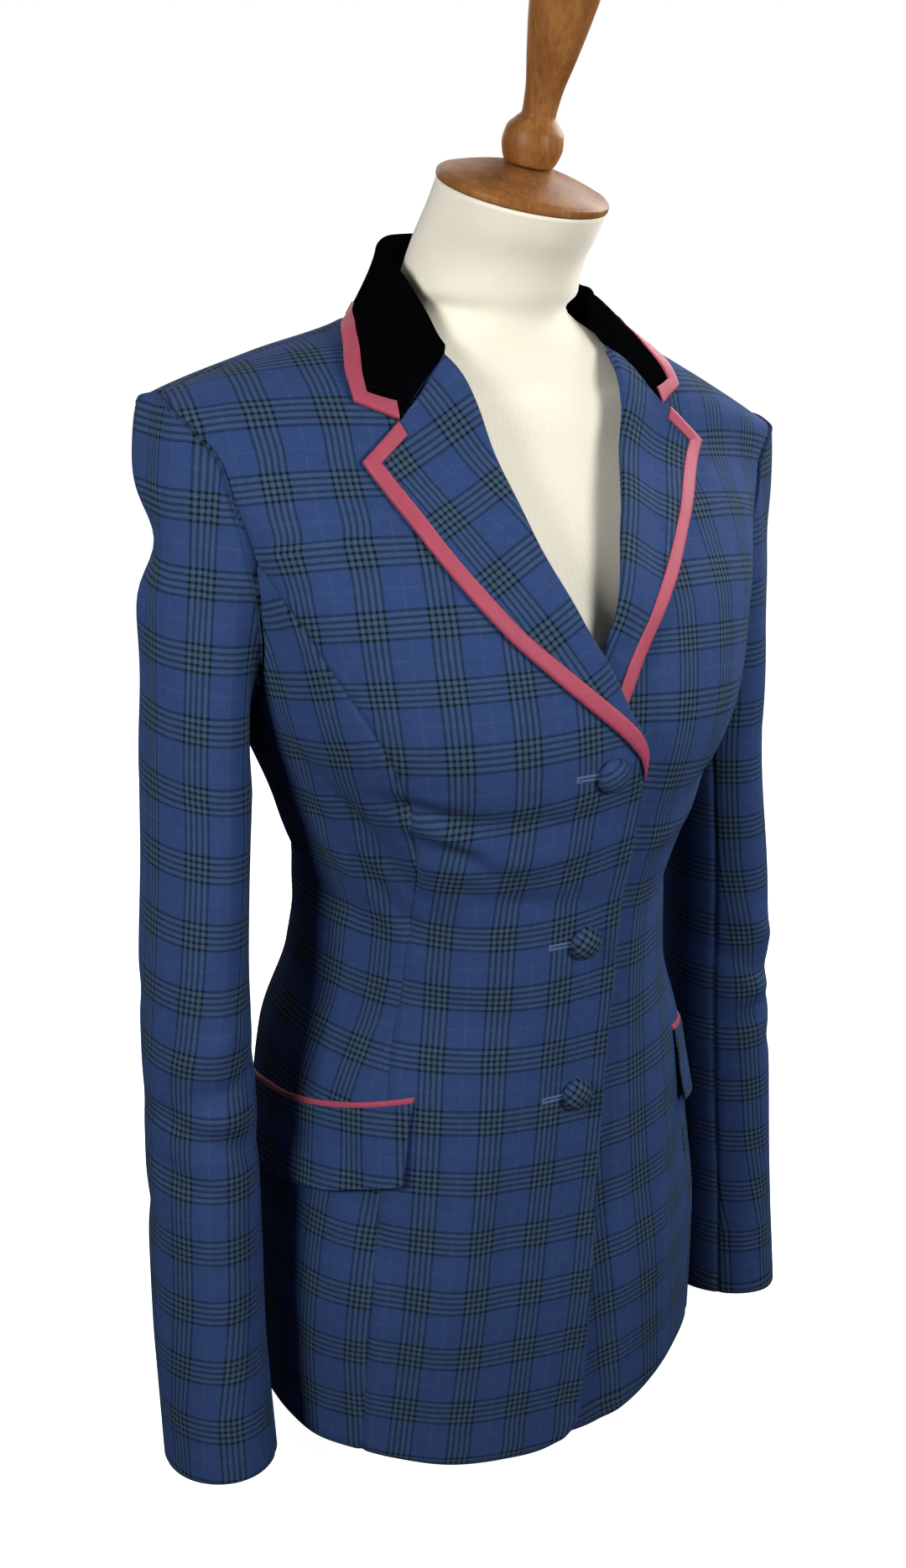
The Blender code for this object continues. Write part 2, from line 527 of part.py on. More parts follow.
def collar_half(share, across, hand):
    """Own-side collar points: shares from the centre back to the end, then places from seam to edge."""
    mirror = -COLLAR["share"][1]
    places = np.concatenate([[mirror], COLLAR["share"], [1.0]])
    end = own_lapel(np.array([0.0, NOTCH]), 1.0, hand, np.array([COLLAR_FOLD, 0.0]))

    def line(part, last_point):
        angle = np.radians(COLLAR[part + "_turn"])
        radius = COLLAR[part + "_radius"]
        points = np.stack([radius * np.sin(angle), COLLAR_CENTRE + radius * np.cos(angle),
                           COLLAR[part + "_height"]], -1)
        points = np.vstack([points[1] * [-1, 1, 1], points, last_point])
        return np.stack([smooth(share, places, points[:, k]) for k in range(3)], -1)

    fold = line("fold", end[0])
    edge = line("edge", COLLAR_TIP)
    stand = smooth(share, places[1:], np.append(COLLAR["stand"], LEAST_STAND))
    if hand == LEFT:
        sink = COLLAR_SINK * step_up(share, *SINK_SHARES) * (1 - step_up(share, *RISE_SHARES))
        fold[:, 2] -= sink
        stand = np.maximum(stand - sink, LEAST_STAND)
    end_weight = step_up(share, *LAID_SHARES)[:, None]
    radial = unit((edge - fold) * np.array([1, 1, 0]))
    outward = unit(radial * (1 - end_weight) + unit(end[1] - end[0]) * end_weight)
    end_normal = unit(own_lapel(0.3, 1.0, hand, 0.001) - own_lapel(0.3, 1.0, hand))
    upward = unit(np.array([0, 0, 1.0]) * (1 - end_weight) + end_normal * end_weight)
    hub = fold - upward * COLLAR_FOLD
    crown = (fold + edge) / 2 + (outward + upward) * COLLAR_CROWN * (1 - end_weight)
    notch_weight = step_up(share, *NOTCH_SHARES)[:, None]
    crown = crown + (end[1] - (end[0] + COLLAR_TIP) / 2) * notch_weight
    columns = []
    for v in across:
        if v < STAND_TOP:
            down = stand * (1 - v / STAND_TOP)
            columns.append(hub - outward * COLLAR_FOLD - upward * down[:, None])
        elif v <= FALL_TOP:
            swing = math.pi * (FALL_TOP - v) / (FALL_TOP - STAND_TOP)
            columns.append(hub + (outward * math.cos(swing) + upward * math.sin(swing)) * COLLAR_FOLD)
        elif v <= COLLAR_NOTCH:
            k = (v - FALL_TOP) / (COLLAR_NOTCH - FALL_TOP)
            fullness = upward * COLLAR_CROWN * k * (1 - k)
            columns.append((hub + outward * COLLAR_FOLD) * (1 - k) + crown * k + fullness)
        else:
            k = (v - COLLAR_NOTCH) / (1 - COLLAR_NOTCH)
            columns.append(crown * (1 - k) + edge * k)
    grid = np.stack(columns, 1)
    fall = across > FALL_TOP
    grid[:, fall] = clear_of_front(grid[:, fall], COLLAR_WALL + 4 * SEAM_GAP, hand)
    return grid


def whole_collar(half):
    """A right half and a left half, each given by a function of the hand, joined at the centre back."""
    return np.concatenate([sided(half(RIGHT)[:0:-1], RIGHT), sided(half(LEFT), LEFT)])


def collar_panel():
    return whole_collar(lambda hand: collar_half(COLLAR_SHARES, COLLAR_ACROSS, hand))


def over_collar(share, across, hand):
    """Collar points moved out to the ribbon's outer face."""
    small = 1e-3
    along = collar_half(share + small, across, hand) - collar_half(share - small, across, hand)
    out = collar_half(share, across + small, hand) - collar_half(share, across - small, hand)
    normal = unit(np.cross(along, out))
    return collar_half(share, across, hand) + normal * (BINDING_WALL + COLLAR_BINDING_GAP)


def collar_binding():
    """Ribbon round the collar's outer edge and across its ends to the notches."""
    def half(hand):
        end = np.array([COLLAR_END - BINDING_SHARE, COLLAR_END])
        strip = over_collar(COLLAR_SHARES, np.array([BINDING_ACROSS, 1.0]), hand)
        strip[-1, 0] = over_collar(end, np.array([BINDING_ACROSS]), hand)[0, 0]
        across_end = over_collar(end, np.linspace(BINDING_ACROSS, COLLAR_NOTCH, 5)[1:], hand)
        return np.concatenate([strip, across_end.swapaxes(0, 1)])

    return whole_collar(half)


# Pockets: a slanting welt with a flap under it, on each side
POCKET_FRONT_X = 0.094
POCKET_FRONT_HEIGHT = 0.280
POCKET_SLANT = 0.27          # drop towards the back, per length
POCKET_LENGTH = 0.135
POCKET_REACH = 0.118         # mean distance of the pocket from the body's middle
WELT_HEIGHT = 0.0045
WELT_WALL = 0.0012
FLAP_HEIGHT = 0.055
FLAP_WALL = 0.0018
FLAP_STAND_OFF = 0.0035      # at the flap's lower edge


def pocket_points(along, drop, lift, hand):
    """Points by the share of the pocket's length, from its front end, and the drop below its top line."""
    height = POCKET_FRONT_HEIGHT - POCKET_SLANT * POCKET_LENGTH * along - drop
    front_turn = turn_at_x(POCKET_FRONT_X, POCKET_FRONT_HEIGHT, -1)
    turn = front_turn + POCKET_LENGTH / POCKET_REACH * along
    return sided(body(turn, height, lift), hand)


def pocket_welt(hand):
    along, drop = np.meshgrid(np.linspace(0, 1, 8), np.array([WELT_HEIGHT, 0]))
    return pocket_points(along, drop, WELT_WALL + 2 * SEAM_GAP, hand)


def pocket_flap(hand):
    along, share = np.meshgrid(np.linspace(0, 1, 8), np.linspace(1, 0, 5))
    drop = WELT_HEIGHT + SEAM_GAP + share * (FLAP_HEIGHT - WELT_HEIGHT)
    return pocket_points(along, drop, FLAP_WALL + 2 * SEAM_GAP + FLAP_STAND_OFF * share ** 1.5, hand)


# Dress form: rings inside the coat, then the neck
FORM_INSET = table("height inset", [
    (0.000, 0.046), (0.060, 0.040), (0.150, 0.024), (0.270, 0.012), (0.400, 0.008), (0.560, 0.008),
    (0.640, 0.0070), (0.690, 0.0050), (0.702, 0.0026), (0.740, 0.0026)])
NECK = table("height middle centre half_width half_depth tilt side", [
    (0.713, 0.000, -0.006, 0.0590, 0.0400, 0.0, 0.0), (0.733, 0.001, -0.015, 0.0530, 0.0440, 6.0, 1.0),
    (0.752, 0.001, -0.028, 0.0495, 0.0465, 11.0, 2.0), (0.768, 0.001, -0.042, 0.0478, 0.0470, 15.0, 3.0),
    (0.781, 0.001, -0.052, 0.0470, 0.0470, 17.0, 3.5)])
FORM_FRONT_ROOM = 0.0030     # extra room at the middle of the front and back
CUTTER = 0.300               # size of the block that cuts each arm plate
ARM_PLATE = 0.160            # distance of the form's flat arm plates from its middle
CAP_THICKNESS = 0.0045
CAP_EDGE = 0.0015            # rounding of the cap's rim
CAP_DOME = 0.0110            # rise of the cap's middle above its rim
CAP_RADIUS = 0.0478
FORM_SIDES = 40
TORSO_HEIGHTS = (0, 0.04, 0.09, 0.15, 0.21, 0.27, 0.32, 0.36, 0.40, 0.44, 0.48, 0.52, 0.56, 0.60, 0.63,
                 0.65, 0.664, 0.675, 0.686, 0.698)


def neck_place(k):
    """Place of one row of the neck: its centre, tilted ahead and leaning to the left."""
    at = Matrix.Translation((NECK["middle"][k], NECK["centre"][k], NECK["height"][k]))
    lean = Matrix.Rotation(math.radians(NECK["side"][k]), 4, "Y")
    return at @ lean @ Matrix.Rotation(math.radians(NECK["tilt"][k]), 4, "X")


def form_rings():
    """Rings of the form from its base to the top of its neck."""
    angle = np.linspace(0, 2 * math.pi, FORM_SIDES, endpoint=False)
    room = FORM_FRONT_ROOM * np.cos(angle) ** 2
    rings = [body(angle, h, -room - read(FORM_INSET, "height", h, "inset")) for h in TORSO_HEIGHTS]
    rings[0][:, 2] = 0
    for k in range(len(NECK["height"])):
        flat = np.stack([NECK["half_width"][k] * np.sin(angle), -NECK["half_depth"][k] * np.cos(angle),
                         0 * angle, 1 + 0 * angle])
        rings.append((np.array(neck_place(k)) @ flat)[:3].T)
    return sunk(np.array(rings))


# Turned finial: radius at heights above the cap
FINIAL = table("height radius", [
    (0.000, 0.0135), (0.003, 0.0150), (0.010, 0.0166), (0.017, 0.0155), (0.022, 0.0115), (0.025, 0.0092),
    (0.035, 0.0098), (0.055, 0.0135), (0.075, 0.0170), (0.090, 0.0188), (0.100, 0.0180), (0.107, 0.0130),
    (0.110, 0.0060)])


COLOURS = {
    "checked_wool": ((0.045, 0.070, 0.200, 1), 0.85),
    "velvet": ((0.006, 0.006, 0.010, 1), 0.9),
    "ribbon": ((0.420, 0.080, 0.130, 1), 0.6),
    "jersey": ((0.780, 0.730, 0.620, 1), 0.85),
    "wood": ((0.280, 0.120, 0.040, 1), 0.4)}


def material(piece, kind):
    """A material of the piece's own, in its kind's colour."""
    colour, roughness = COLOURS[kind]
    made = bpy.data.materials.new(piece + "_" + kind)
    made.use_nodes = True
    shader = made.node_tree.nodes["Principled BSDF"]
    shader.inputs["Base Color"].default_value = colour
    shader.inputs["Roughness"].default_value = roughness
    shader.inputs["Metallic"].default_value = 0.0
    return made


def add_object(name, mesh, kind, collection, parent):
    mesh.materials.append(material(name, kind))
    mesh.shade_smooth()
    made = bpy.data.objects.new(name, mesh)
    made.parent = parent
    collection.objects.link(made)
    return made


def grid_mesh(name, grid, flipped):
    """A grid primitive with its points placed on a surface, facing out."""
    rows, columns = grid.shape[:2]
    build = bmesh.new()
    bmesh.ops.create_grid(build, x_segments=columns - 1, y_segments=rows - 1, size=1)
    for vertex, place in zip(build.verts, grid.reshape(-1, 3)):
        vertex.co = place
    if flipped:
        bmesh.ops.reverse_faces(build, faces=build.faces)
    mesh = bpy.data.meshes.new(name)
    build.to_mesh(mesh)
    build.free()
    return mesh


def add_sheet(name, grid, wall, kind, flipped, collection, parent):
    """Cloth: an open surface through its outer points, thickened inwards."""
    made = add_object(name, grid_mesh(name, grid, flipped), kind, collection, parent)
    solid = made.modifiers.new("Wall", "SOLIDIFY")
    solid.thickness = wall
    solid.offset = -1
    return made


def add_turned(name, profile, kind, steps, matrix, collection, parent):
    """A turned piece: its profile, from the top of the axis down its outer side, with a Screw."""
    build = bmesh.new()
    points = [build.verts.new((radius, 0, height)) for radius, height in profile]
    for one, two in zip(points, points[1:]):
        build.edges.new((one, two))
    mesh = bpy.data.meshes.new(name)
    build.to_mesh(mesh)
    build.free()
    made = add_object(name, mesh, kind, collection, parent)
    screw = made.modifiers.new("Turn", "SCREW")
    screw.steps = steps
    screw.render_steps = steps
    screw.use_merge_vertices = True
    screw.merge_threshold = 0.00001
    made.matrix_world = matrix
    return made


def add_cloth(collection, parent):
    """Every sewn piece of the coat, right and left."""
    for side, hand in SIDES.items():
        right = hand == RIGHT
        pieces = (
            ("front_", front_panel, WALL, "checked_wool", right),
            ("side_", side_panel, WALL, "checked_wool", right),
            ("back_", back_panel, WALL, "checked_wool", not right),
            ("top_sleeve_", top_sleeve, WALL, "checked_wool", right),
            ("under_sleeve_", under_sleeve, WALL, "checked_wool", right),
            ("lapel_", lapel_panel, LAPEL_WALL, "checked_wool", right),
            ("lapel_binding_", lapel_binding, BINDING_WALL, "ribbon", right),
            ("pocket_welt_", pocket_welt, WELT_WALL, "ribbon", right),
            ("pocket_flap_", pocket_flap, FLAP_WALL, "checked_wool", right))
        for name, make, wall, kind, flipped in pieces:
            add_sheet(name + side, make(hand), wall, kind, flipped, collection, parent)
    add_sheet("collar", collar_panel(), COLLAR_WALL, "velvet", True, collection, parent)
    add_sheet("collar_binding", collar_binding(), BINDING_WALL, "ribbon", True, collection, parent)


def add_buttons(collection, parent):
    """Domed buttons on the right front, over the centre."""
    foot = 2 * SEAM_GAP
    bend = np.linspace(0, math.pi / 2, 7)
    profile = [(BUTTON_RADIUS * math.sin(a), foot + BUTTON_RIM + BUTTON_DOME * math.cos(a)) for a in bend]
    profile += [(BUTTON_RADIUS * BUTTON_FOOT, foot), (0, foot)]
    for place, height in BUTTON_HEIGHTS.items():
        seat = body(0.0, height)
        normal = Vector(unit(body(0.0, height, 0.001) - seat))
        matrix = Matrix.Translation(Vector(seat)) @ normal.to_track_quat("Z", "Y").to_matrix().to_4x4()
        add_turned("button_" + place, profile, "checked_wool", 20, matrix, collection, parent)


def add_form(collection, parent, cutters):
    """The dress form: jersey torso and neck, wooden cap and finial."""
    rings = form_rings()
    build = bmesh.new()
    loops = [[build.verts.new(p) for p in ring] for ring in rings]
    for low, high in zip(loops, loops[1:]):
        for k in range(FORM_SIDES):
            n = (k + 1) % FORM_SIDES
            build.faces.new((low[k], low[n], high[n], high[k]))
    build.faces.new(loops[0][::-1])
    build.faces.new(loops[-1])
    mesh = bpy.data.meshes.new("form_torso")
    build.to_mesh(mesh)
    build.free()
    torso = add_object("form_torso", mesh, "jersey", collection, parent)
    for side, hand in SIDES.items():
        bpy.ops.mesh.primitive_cube_add(size=CUTTER, location=(hand * (ARM_PLATE + CUTTER / 2), 0, 0.60))
        cutter = bpy.context.object
        cutter.name = "arm_plate_cutter_" + side
        cutter.hide_render = True
        cutter.display_type = "WIRE"
        for home in cutter.users_collection:
            home.objects.unlink(cutter)
        cutters.objects.link(cutter)
        cut = torso.modifiers.new("Arm plate " + side, "BOOLEAN")
        cut.operation = "DIFFERENCE"
        cut.object = cutter
    seat = neck_place(-1)
    bottom, top = SEAM_GAP, SEAM_GAP + CAP_THICKNESS
    crown = [(CAP_RADIUS * r, top + CAP_DOME * (1 - r ** 1.7)) for r in (0, 0.3, 0.5, 0.7, 0.85, 0.96)]
    rim = [(CAP_RADIUS, top - CAP_EDGE), (CAP_RADIUS, bottom + CAP_EDGE), (CAP_RADIUS - CAP_EDGE, bottom)]
    disc = crown + rim + [(0, bottom)]
    add_turned("form_neck_cap", disc, "wood", 36, seat, collection, parent)
    rise = top + CAP_DOME + SEAM_GAP
    heights = np.linspace(FINIAL["height"][-1], 0, 24)
    outline = [(float(read(FINIAL, "height", h, "radius")), rise + h) for h in heights]
    outline = [(0, rise + FINIAL["height"][-1] + 0.001)] + outline + [(0, rise)]
    add_turned("form_finial", outline, "wood", 24, seat, collection, parent)


def main():
    for thing in list(bpy.data.objects):
        bpy.data.objects.remove(thing)
    collection = bpy.data.collections.new("hunt_coat_on_dress_form")
    cutters = bpy.data.collections.new("cutters")
    for made in (collection, cutters):
        bpy.context.scene.collection.children.link(made)
    parent = bpy.data.objects.new("form_base", None)
    collection.objects.link(parent)
    add_form(collection, parent, cutters)
    add_cloth(collection, parent)
    add_buttons(collection, parent)


main()
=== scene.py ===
"""The dressed scene: a checked hunt coat with a velvet collar, buttoned on a limbless dress form.

Frame: metres, +Z up. The coat faces -Y and its own left side is +X.
"""
import math

import bpy
import numpy as np
from mathutils import Matrix, Vector


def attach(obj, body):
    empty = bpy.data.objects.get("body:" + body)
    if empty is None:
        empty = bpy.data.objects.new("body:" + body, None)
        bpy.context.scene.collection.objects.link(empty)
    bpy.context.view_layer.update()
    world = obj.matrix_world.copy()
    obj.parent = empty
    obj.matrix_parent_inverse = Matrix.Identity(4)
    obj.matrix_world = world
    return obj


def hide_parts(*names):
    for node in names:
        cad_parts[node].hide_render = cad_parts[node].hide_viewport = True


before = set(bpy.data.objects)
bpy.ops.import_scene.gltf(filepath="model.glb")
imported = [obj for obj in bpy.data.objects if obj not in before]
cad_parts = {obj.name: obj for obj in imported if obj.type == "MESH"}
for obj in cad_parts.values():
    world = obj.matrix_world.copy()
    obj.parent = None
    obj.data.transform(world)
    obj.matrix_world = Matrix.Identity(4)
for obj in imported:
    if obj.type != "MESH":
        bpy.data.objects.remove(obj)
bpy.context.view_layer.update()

LEFT, RIGHT = 1, -1
SIDES = {"right": RIGHT, "left": LEFT}

# Camera: the photograph's view
CAMERA_PLACE = (-0.497, -0.844, 0.756)
CAMERA_YAW = -29.96
CAMERA_PITCH = 18.46
CAMERA_ROLL = 0.21
CAMERA_LENS = 37.27
SENSOR = 36.0


def new_object(name, data):
    """An object in the scene, from its data."""
    made = bpy.data.objects.new(name, data)
    bpy.context.scene.collection.objects.link(made)
    return made


def add_camera():
    """The camera, from its place and three angles."""
    yaw, pitch, roll = (math.radians(a) for a in (CAMERA_YAW, CAMERA_PITCH, CAMERA_ROLL))
    back = Vector((math.sin(yaw) * math.cos(pitch), -math.cos(yaw) * math.cos(pitch), math.sin(pitch)))
    right = (-back).cross(Vector((0, 0, 1))).normalized()
    up = right.cross(-back)
    level = right * math.cos(roll) + up * math.sin(roll)
    rise = up * math.cos(roll) - right * math.sin(roll)
    turn = Matrix((level, rise, back)).transposed().to_4x4()
    lens = bpy.data.cameras.new("camera")
    lens.lens = CAMERA_LENS
    lens.sensor_width = SENSOR
    lens.sensor_fit = "AUTO"
    made = new_object("camera", lens)
    made.matrix_world = Matrix.Translation(CAMERA_PLACE) @ turn
    bpy.context.scene.camera = made


add_camera()

# Driving dimensions, the same as the solids'
WALL = 0.0018  # coat cloth with its interlining
SEAM_GAP = 0.0003  # between two pieces at a seam
NECK_POINT = 0.715  # height where the shoulder seam meets the collar
SHOULDER_TIP = 0.680  # height where the shoulder seam meets the sleeve
BREAK = 0.486  # height where the lapel starts to turn back
GORGE_TOP = 0.694  # height of the lapel's top on its roll line
LAPEL_TIP = 0.646  # height of the lapel's point
HEM_SIDE = {RIGHT: 0.034, LEFT: 0.044}  # height of the hem at each side
HEM_BACK = 0.039  # height of the hem at the centre back
PRINCESS_TURN = 84.0  # place on the armhole where the princess seam starts, degrees
BACK_SEAM_TURN = 276.0  # place on the armhole where the side-back seam starts, degrees
BINDING_WIDTH = 0.008
BUTTON_RADIUS = 0.0102
BUTTON_DOME = 0.0062
BUTTON_RIM = 0.0015
BUTTON_FOOT = 0.94  # radius of the flat underside, as a share of the whole
BUTTON_HEIGHTS = {"top": 0.480, "middle": 0.372, "bottom": 0.271}

# The left shoulder hangs lower than the right one, most at its tip
SHOULDER_SINK = 0.026
SLEEVE_SINK = 0.40  # share of it by which the left cuff hangs lower
SINK_OUT = (0.045, 0.205)  # distances from the middle where it starts and is full
SINK_UP = (0.460, 0.660)  # heights where it starts and is full
SINK_CHEST = -0.020  # depth from which it eases off towards the front of the chest
SINK_EASE = 0.8  # how fast it eases off there


def table(columns, rows):
    """A short table of numbers, by the names of its columns."""
    return dict(zip(columns.split(), np.array(rows, float).T))


# Outer face of the coat: level sections, each a pair of half superellipses
BODY = table("height half_width front back centre front_power back_power", [
    (0.000, 0.155, 0.133, 0.120, 0.000, 2.5, 2.3),
    (0.030, 0.155, 0.133, 0.120, 0.000, 2.5, 2.3),
    (0.120, 0.154, 0.133, 0.121, 0.000, 2.5, 2.3),
    (0.200, 0.146, 0.130, 0.121, 0.000, 2.4, 2.3),
    (0.270, 0.137, 0.130, 0.116, 0.000, 2.3, 2.3),
    (0.330, 0.119, 0.132, 0.093, 0.000, 2.2, 2.3),
    (0.380, 0.115, 0.135, 0.077, 0.000, 2.2, 2.3),
    (0.430, 0.126, 0.145, 0.077, 0.000, 2.3, 2.3),
    (0.500, 0.153, 0.158, 0.086, 0.000, 2.5, 2.3),
    (0.560, 0.168, 0.146, 0.093, 0.000, 2.5, 2.3),
    (0.610, 0.186, 0.112, 0.096, -0.004, 2.4, 2.3),
    (0.646, 0.209, 0.080, 0.087, -0.007, 2.2, 2.2),
    (0.668, 0.218, 0.069, 0.075, -0.008, 2.2, 2.2),
    (SHOULDER_TIP, 0.196, 0.063, 0.068, -0.008, 2.2, 2.2),
    (0.699, 0.138, 0.051, 0.057, -0.005, 2.2, 2.2),
    (NECK_POINT, 0.080, 0.042, 0.047, 0.000, 2.2, 2.2),
    (0.740, 0.055, 0.040, 0.042, 0.000, 2.2, 2.2)])

# Front edge and roll line: distance from the centre front, towards the piece's own side
FRONT_EDGE = table("height right left", [
    (0.026, -0.004, -0.004), (0.040, -0.009, -0.009), (0.120, -0.014, -0.014), (0.250, -0.020, -0.020),
    (0.400, -0.025, -0.025), (BREAK, -0.022, -0.022), (0.515, -0.006, -0.015), (0.540, 0.007, -0.006),
    (0.565, 0.021, 0.006), (0.600, 0.034, 0.022), (0.645, 0.041, 0.045), (0.670, 0.045, 0.053),
    (GORGE_TOP, 0.053, 0.056), (NECK_POINT, 0.080, 0.080)])

# Princess seam, below the armhole
PRINCESS = table("height x", [
    (0.030, 0.128), (0.110, 0.124), (0.220, 0.113), (0.280, 0.106), (0.346, 0.094), (0.390, 0.091),
    (0.420, 0.093), (0.457, 0.102), (0.503, 0.121), (0.546, 0.142), (0.570, 0.153), (0.600, 0.168)])
PRINCESS_EASE = 0.040  # length over which its top bends to the armhole

# Side-back seam: its turn about the body, 90 at the side and 180 at the centre back
SIDE_BACK = table("height turn", [
    (0.030, 118.0), (0.200, 120.0), (0.380, 124.0), (0.500, 122.0), (0.600, 114.0)])

# Hem, out from the front corner
HEM = table("x right left", [
    (-0.004, 0.027, 0.026), (0.004, 0.021, 0.022), (0.020, 0.019, 0.021), (0.050, 0.022, 0.026),
    (0.085, 0.026, 0.036), (0.128, HEM_SIDE[RIGHT], HEM_SIDE[LEFT])])

# Armhole seen from the side: the turn runs from the shoulder tip to the front, underarm and back
ARMHOLE = table("turn y height", [
    (0.0, -0.008, SHOULDER_TIP), (30.0, -0.042, 0.669), (60.0, -0.055, 0.632), (90.0, -0.059, 0.595),
    (120.0, -0.054, 0.555), (150.0, -0.034, 0.518), (180.0, 0.000, 0.503), (210.0, 0.034, 0.520),
    (240.0, 0.052, 0.558), (270.0, 0.057, 0.600), (300.0, 0.052, 0.640), (330.0, 0.033, 0.669),
    (360.0, -0.008, SHOULDER_TIP)])

# Sleeve below the armhole: level oval sections
SLEEVE = table("height x y half_width half_depth", [
    (0.029, 0.2015, -0.039, 0.0340, 0.0445), (0.100, 0.2015, -0.031, 0.0330, 0.0450),
    (0.180, 0.1990, -0.024, 0.0325, 0.0460), (0.260, 0.1960, -0.018, 0.0315, 0.0465),
    (0.340, 0.1940, -0.013, 0.0295, 0.0475), (0.420, 0.1880, -0.009, 0.0280, 0.0490),
    (0.460, 0.1850, -0.007, 0.0285, 0.0500)])

# Sleeve head: how each line of the sleeve leaves the armhole and falls to the first level section
SLEEVE_HEAD = table("turn along out start arrive", [
    (0.0, 1.00, 0.30, 0.030, 0.260), (45.0, 0.95, 0.35, 0.008, 0.190), (90.0, 0.80, 0.60, 0.020, 0.110),
    (135.0, 0.20, 1.00, 0.030, 0.060), (180.0, -0.25, 1.00, 0.020, 0.045),
    (225.0, 0.20, 1.00, 0.030, 0.060), (270.0, 0.80, 0.60, 0.016, 0.110),
    (315.0, 0.95, 0.35, 0.010, 0.220), (360.0, 1.00, 0.30, 0.030, 0.260)])

# Folds that the sleeves keep: a trough is negative
SLEEVE_FOLDS = table("turn height turn_size height_size lean depth", [
    (320.0, 0.601, 45.0, 0.022, 0.000, -0.0160), (330.0, 0.530, 50.0, 0.040, 0.000, -0.0030),
    (85.0, 0.290, 55.0, 0.010, 0.010, -0.0034), (100.0, 0.255, 50.0, 0.010, -0.012, -0.0038),
    (20.0, 0.270, 40.0, 0.009, 0.008, -0.0028), (60.0, 0.440, 30.0, 0.050, 0.000, -0.0020),
    (330.0, 0.200, 40.0, 0.014, -0.008, -0.0020), (72.0, 0.316, 48.0, 0.009, 0.014, 0.0018),
    (62.0, 0.274, 42.0, 0.008, -0.004, 0.0020), (34.0, 0.236, 36.0, 0.010, -0.010, -0.0018),
    (300.0, 0.330, 40.0, 0.011, 0.010, -0.0022), (285.0, 0.285, 40.0, 0.010, -0.010, -0.0022),
    (50.0, 0.130, 24.0, 0.060, 0.000, -0.0014), (215.0, 0.420, 40.0, 0.012, 0.010, -0.0020)])

# Creases of the body: hand 0 is both sides, turns are from the centre front, and a lean of 90 is level
CREASES = table("hand turn height length width lean depth", [
    (0, 40.0, 0.110, 0.110, 0.020, 4.0, -0.0022), (0, 66.0, 0.090, 0.120, 0.018, -3.0, 0.0024),
    (0, 92.0, 0.100, 0.110, 0.016, 2.0, -0.0022), (0, 140.0, 0.110, 0.120, 0.020, 0.0, 0.0022),
    (0, 160.0, 0.110, 0.120, 0.016, 0.0, -0.0018),
    (RIGHT, 42.0, 0.463, 0.026, 0.0058, 78.0, -0.0040), (RIGHT, 38.0, 0.448, 0.026, 0.0060, 72.0, 0.0030),
    (RIGHT, 33.0, 0.434, 0.024, 0.0065, 62.0, -0.0030), (RIGHT, 19.0, 0.455, 0.038, 0.0075, 88.0, -0.0026),
    (RIGHT, 21.0, 0.430, 0.042, 0.0080, 96.0, 0.0024), (RIGHT, 16.0, 0.402, 0.038, 0.0080, 84.0, -0.0024),
    (RIGHT, 61.0, 0.447, 0.048, 0.0075, 36.0, -0.0044), (RIGHT, 69.0, 0.418, 0.048, 0.0085, 42.0, 0.0034),
    (RIGHT, 59.0, 0.402, 0.038, 0.009, 47.0, -0.0028), (RIGHT, 80.0, 0.386, 0.044, 0.010, 78.0, -0.0026),
    (RIGHT, 52.0, 0.205, 0.052, 0.010, 24.0, -0.0020), (RIGHT, 24.0, 0.180, 0.075, 0.015, -8.0, 0.0024),
    (RIGHT, 12.0, 0.150, 0.085, 0.013, 3.0, -0.0020), (RIGHT, 30.0, 0.330, 0.046, 0.012, 74.0, -0.0018),
    (LEFT, 40.0, 0.456, 0.026, 0.0075, 74.0, -0.0028), (LEFT, 30.0, 0.432, 0.034, 0.009, 82.0, 0.0022),
    (LEFT, 63.0, 0.430, 0.048, 0.010, 38.0, -0.0034), (LEFT, 72.0, 0.404, 0.044, 0.010, 43.0, 0.0026),
    (LEFT, 50.0, 0.392, 0.038, 0.010, 52.0, -0.0024), (LEFT, 26.0, 0.170, 0.085, 0.015, 6.0, 0.0024),
    (0, 67.0, 0.600, 0.052, 0.012, -14.0, -0.0026), (0, 118.0, 0.420, 0.052, 0.011, 62.0, -0.0028),
    (0, 128.0, 0.392, 0.050, 0.011, 70.0, 0.0024), (0, 150.0, 0.405, 0.052, 0.013, 80.0, -0.0028),
    (0, 163.0, 0.370, 0.052, 0.013, 95.0, 0.0024), (0, 170.0, 0.338, 0.052, 0.013, 86.0, -0.0022),
    (0, 138.0, 0.590, 0.062, 0.013, 18.0, -0.0026)])
CREASE_RADIUS = 0.125  # mean radius of the body, which turns degrees into lengths

# Collar fold and outer edge about the neck: a turn is 0 at the centre back and 90 over the shoulder
COLLAR = table("share fold_turn fold_radius fold_height edge_turn edge_radius edge_height stand", [
    (0.00, 0.0, 0.054, 0.761, 0.0, 0.068, 0.706, 0.028),
    (0.25, 45.0, 0.050, 0.760, 42.0, 0.075, 0.708, 0.028),
    (0.50, 80.0, 0.056, 0.753, 75.0, 0.084, 0.717, 0.021),
    (0.70, 108.0, 0.066, 0.743, 97.0, 0.092, 0.715, 0.020),
    (0.87, 127.0, 0.070, 0.718, 109.0, 0.107, 0.704, 0.004),
    (0.94, 134.0, 0.076, 0.707, 116.5, 0.121, 0.690, 0.002)])


def looped(rows, key="turn", whole=360.0):
    """A table whose key goes round, with a row more at each end."""
    def ends(name, values):
        """A column with those two rows added."""
        turn = whole if name == key else 0.0
        return np.concatenate([values[-2:-1] - turn, values, values[1:2] + turn])

    return {name: ends(name, values) for name, values in rows.items()}


ARMHOLE = looped(ARMHOLE)
SLEEVE_HEAD = looped(SLEEVE_HEAD)


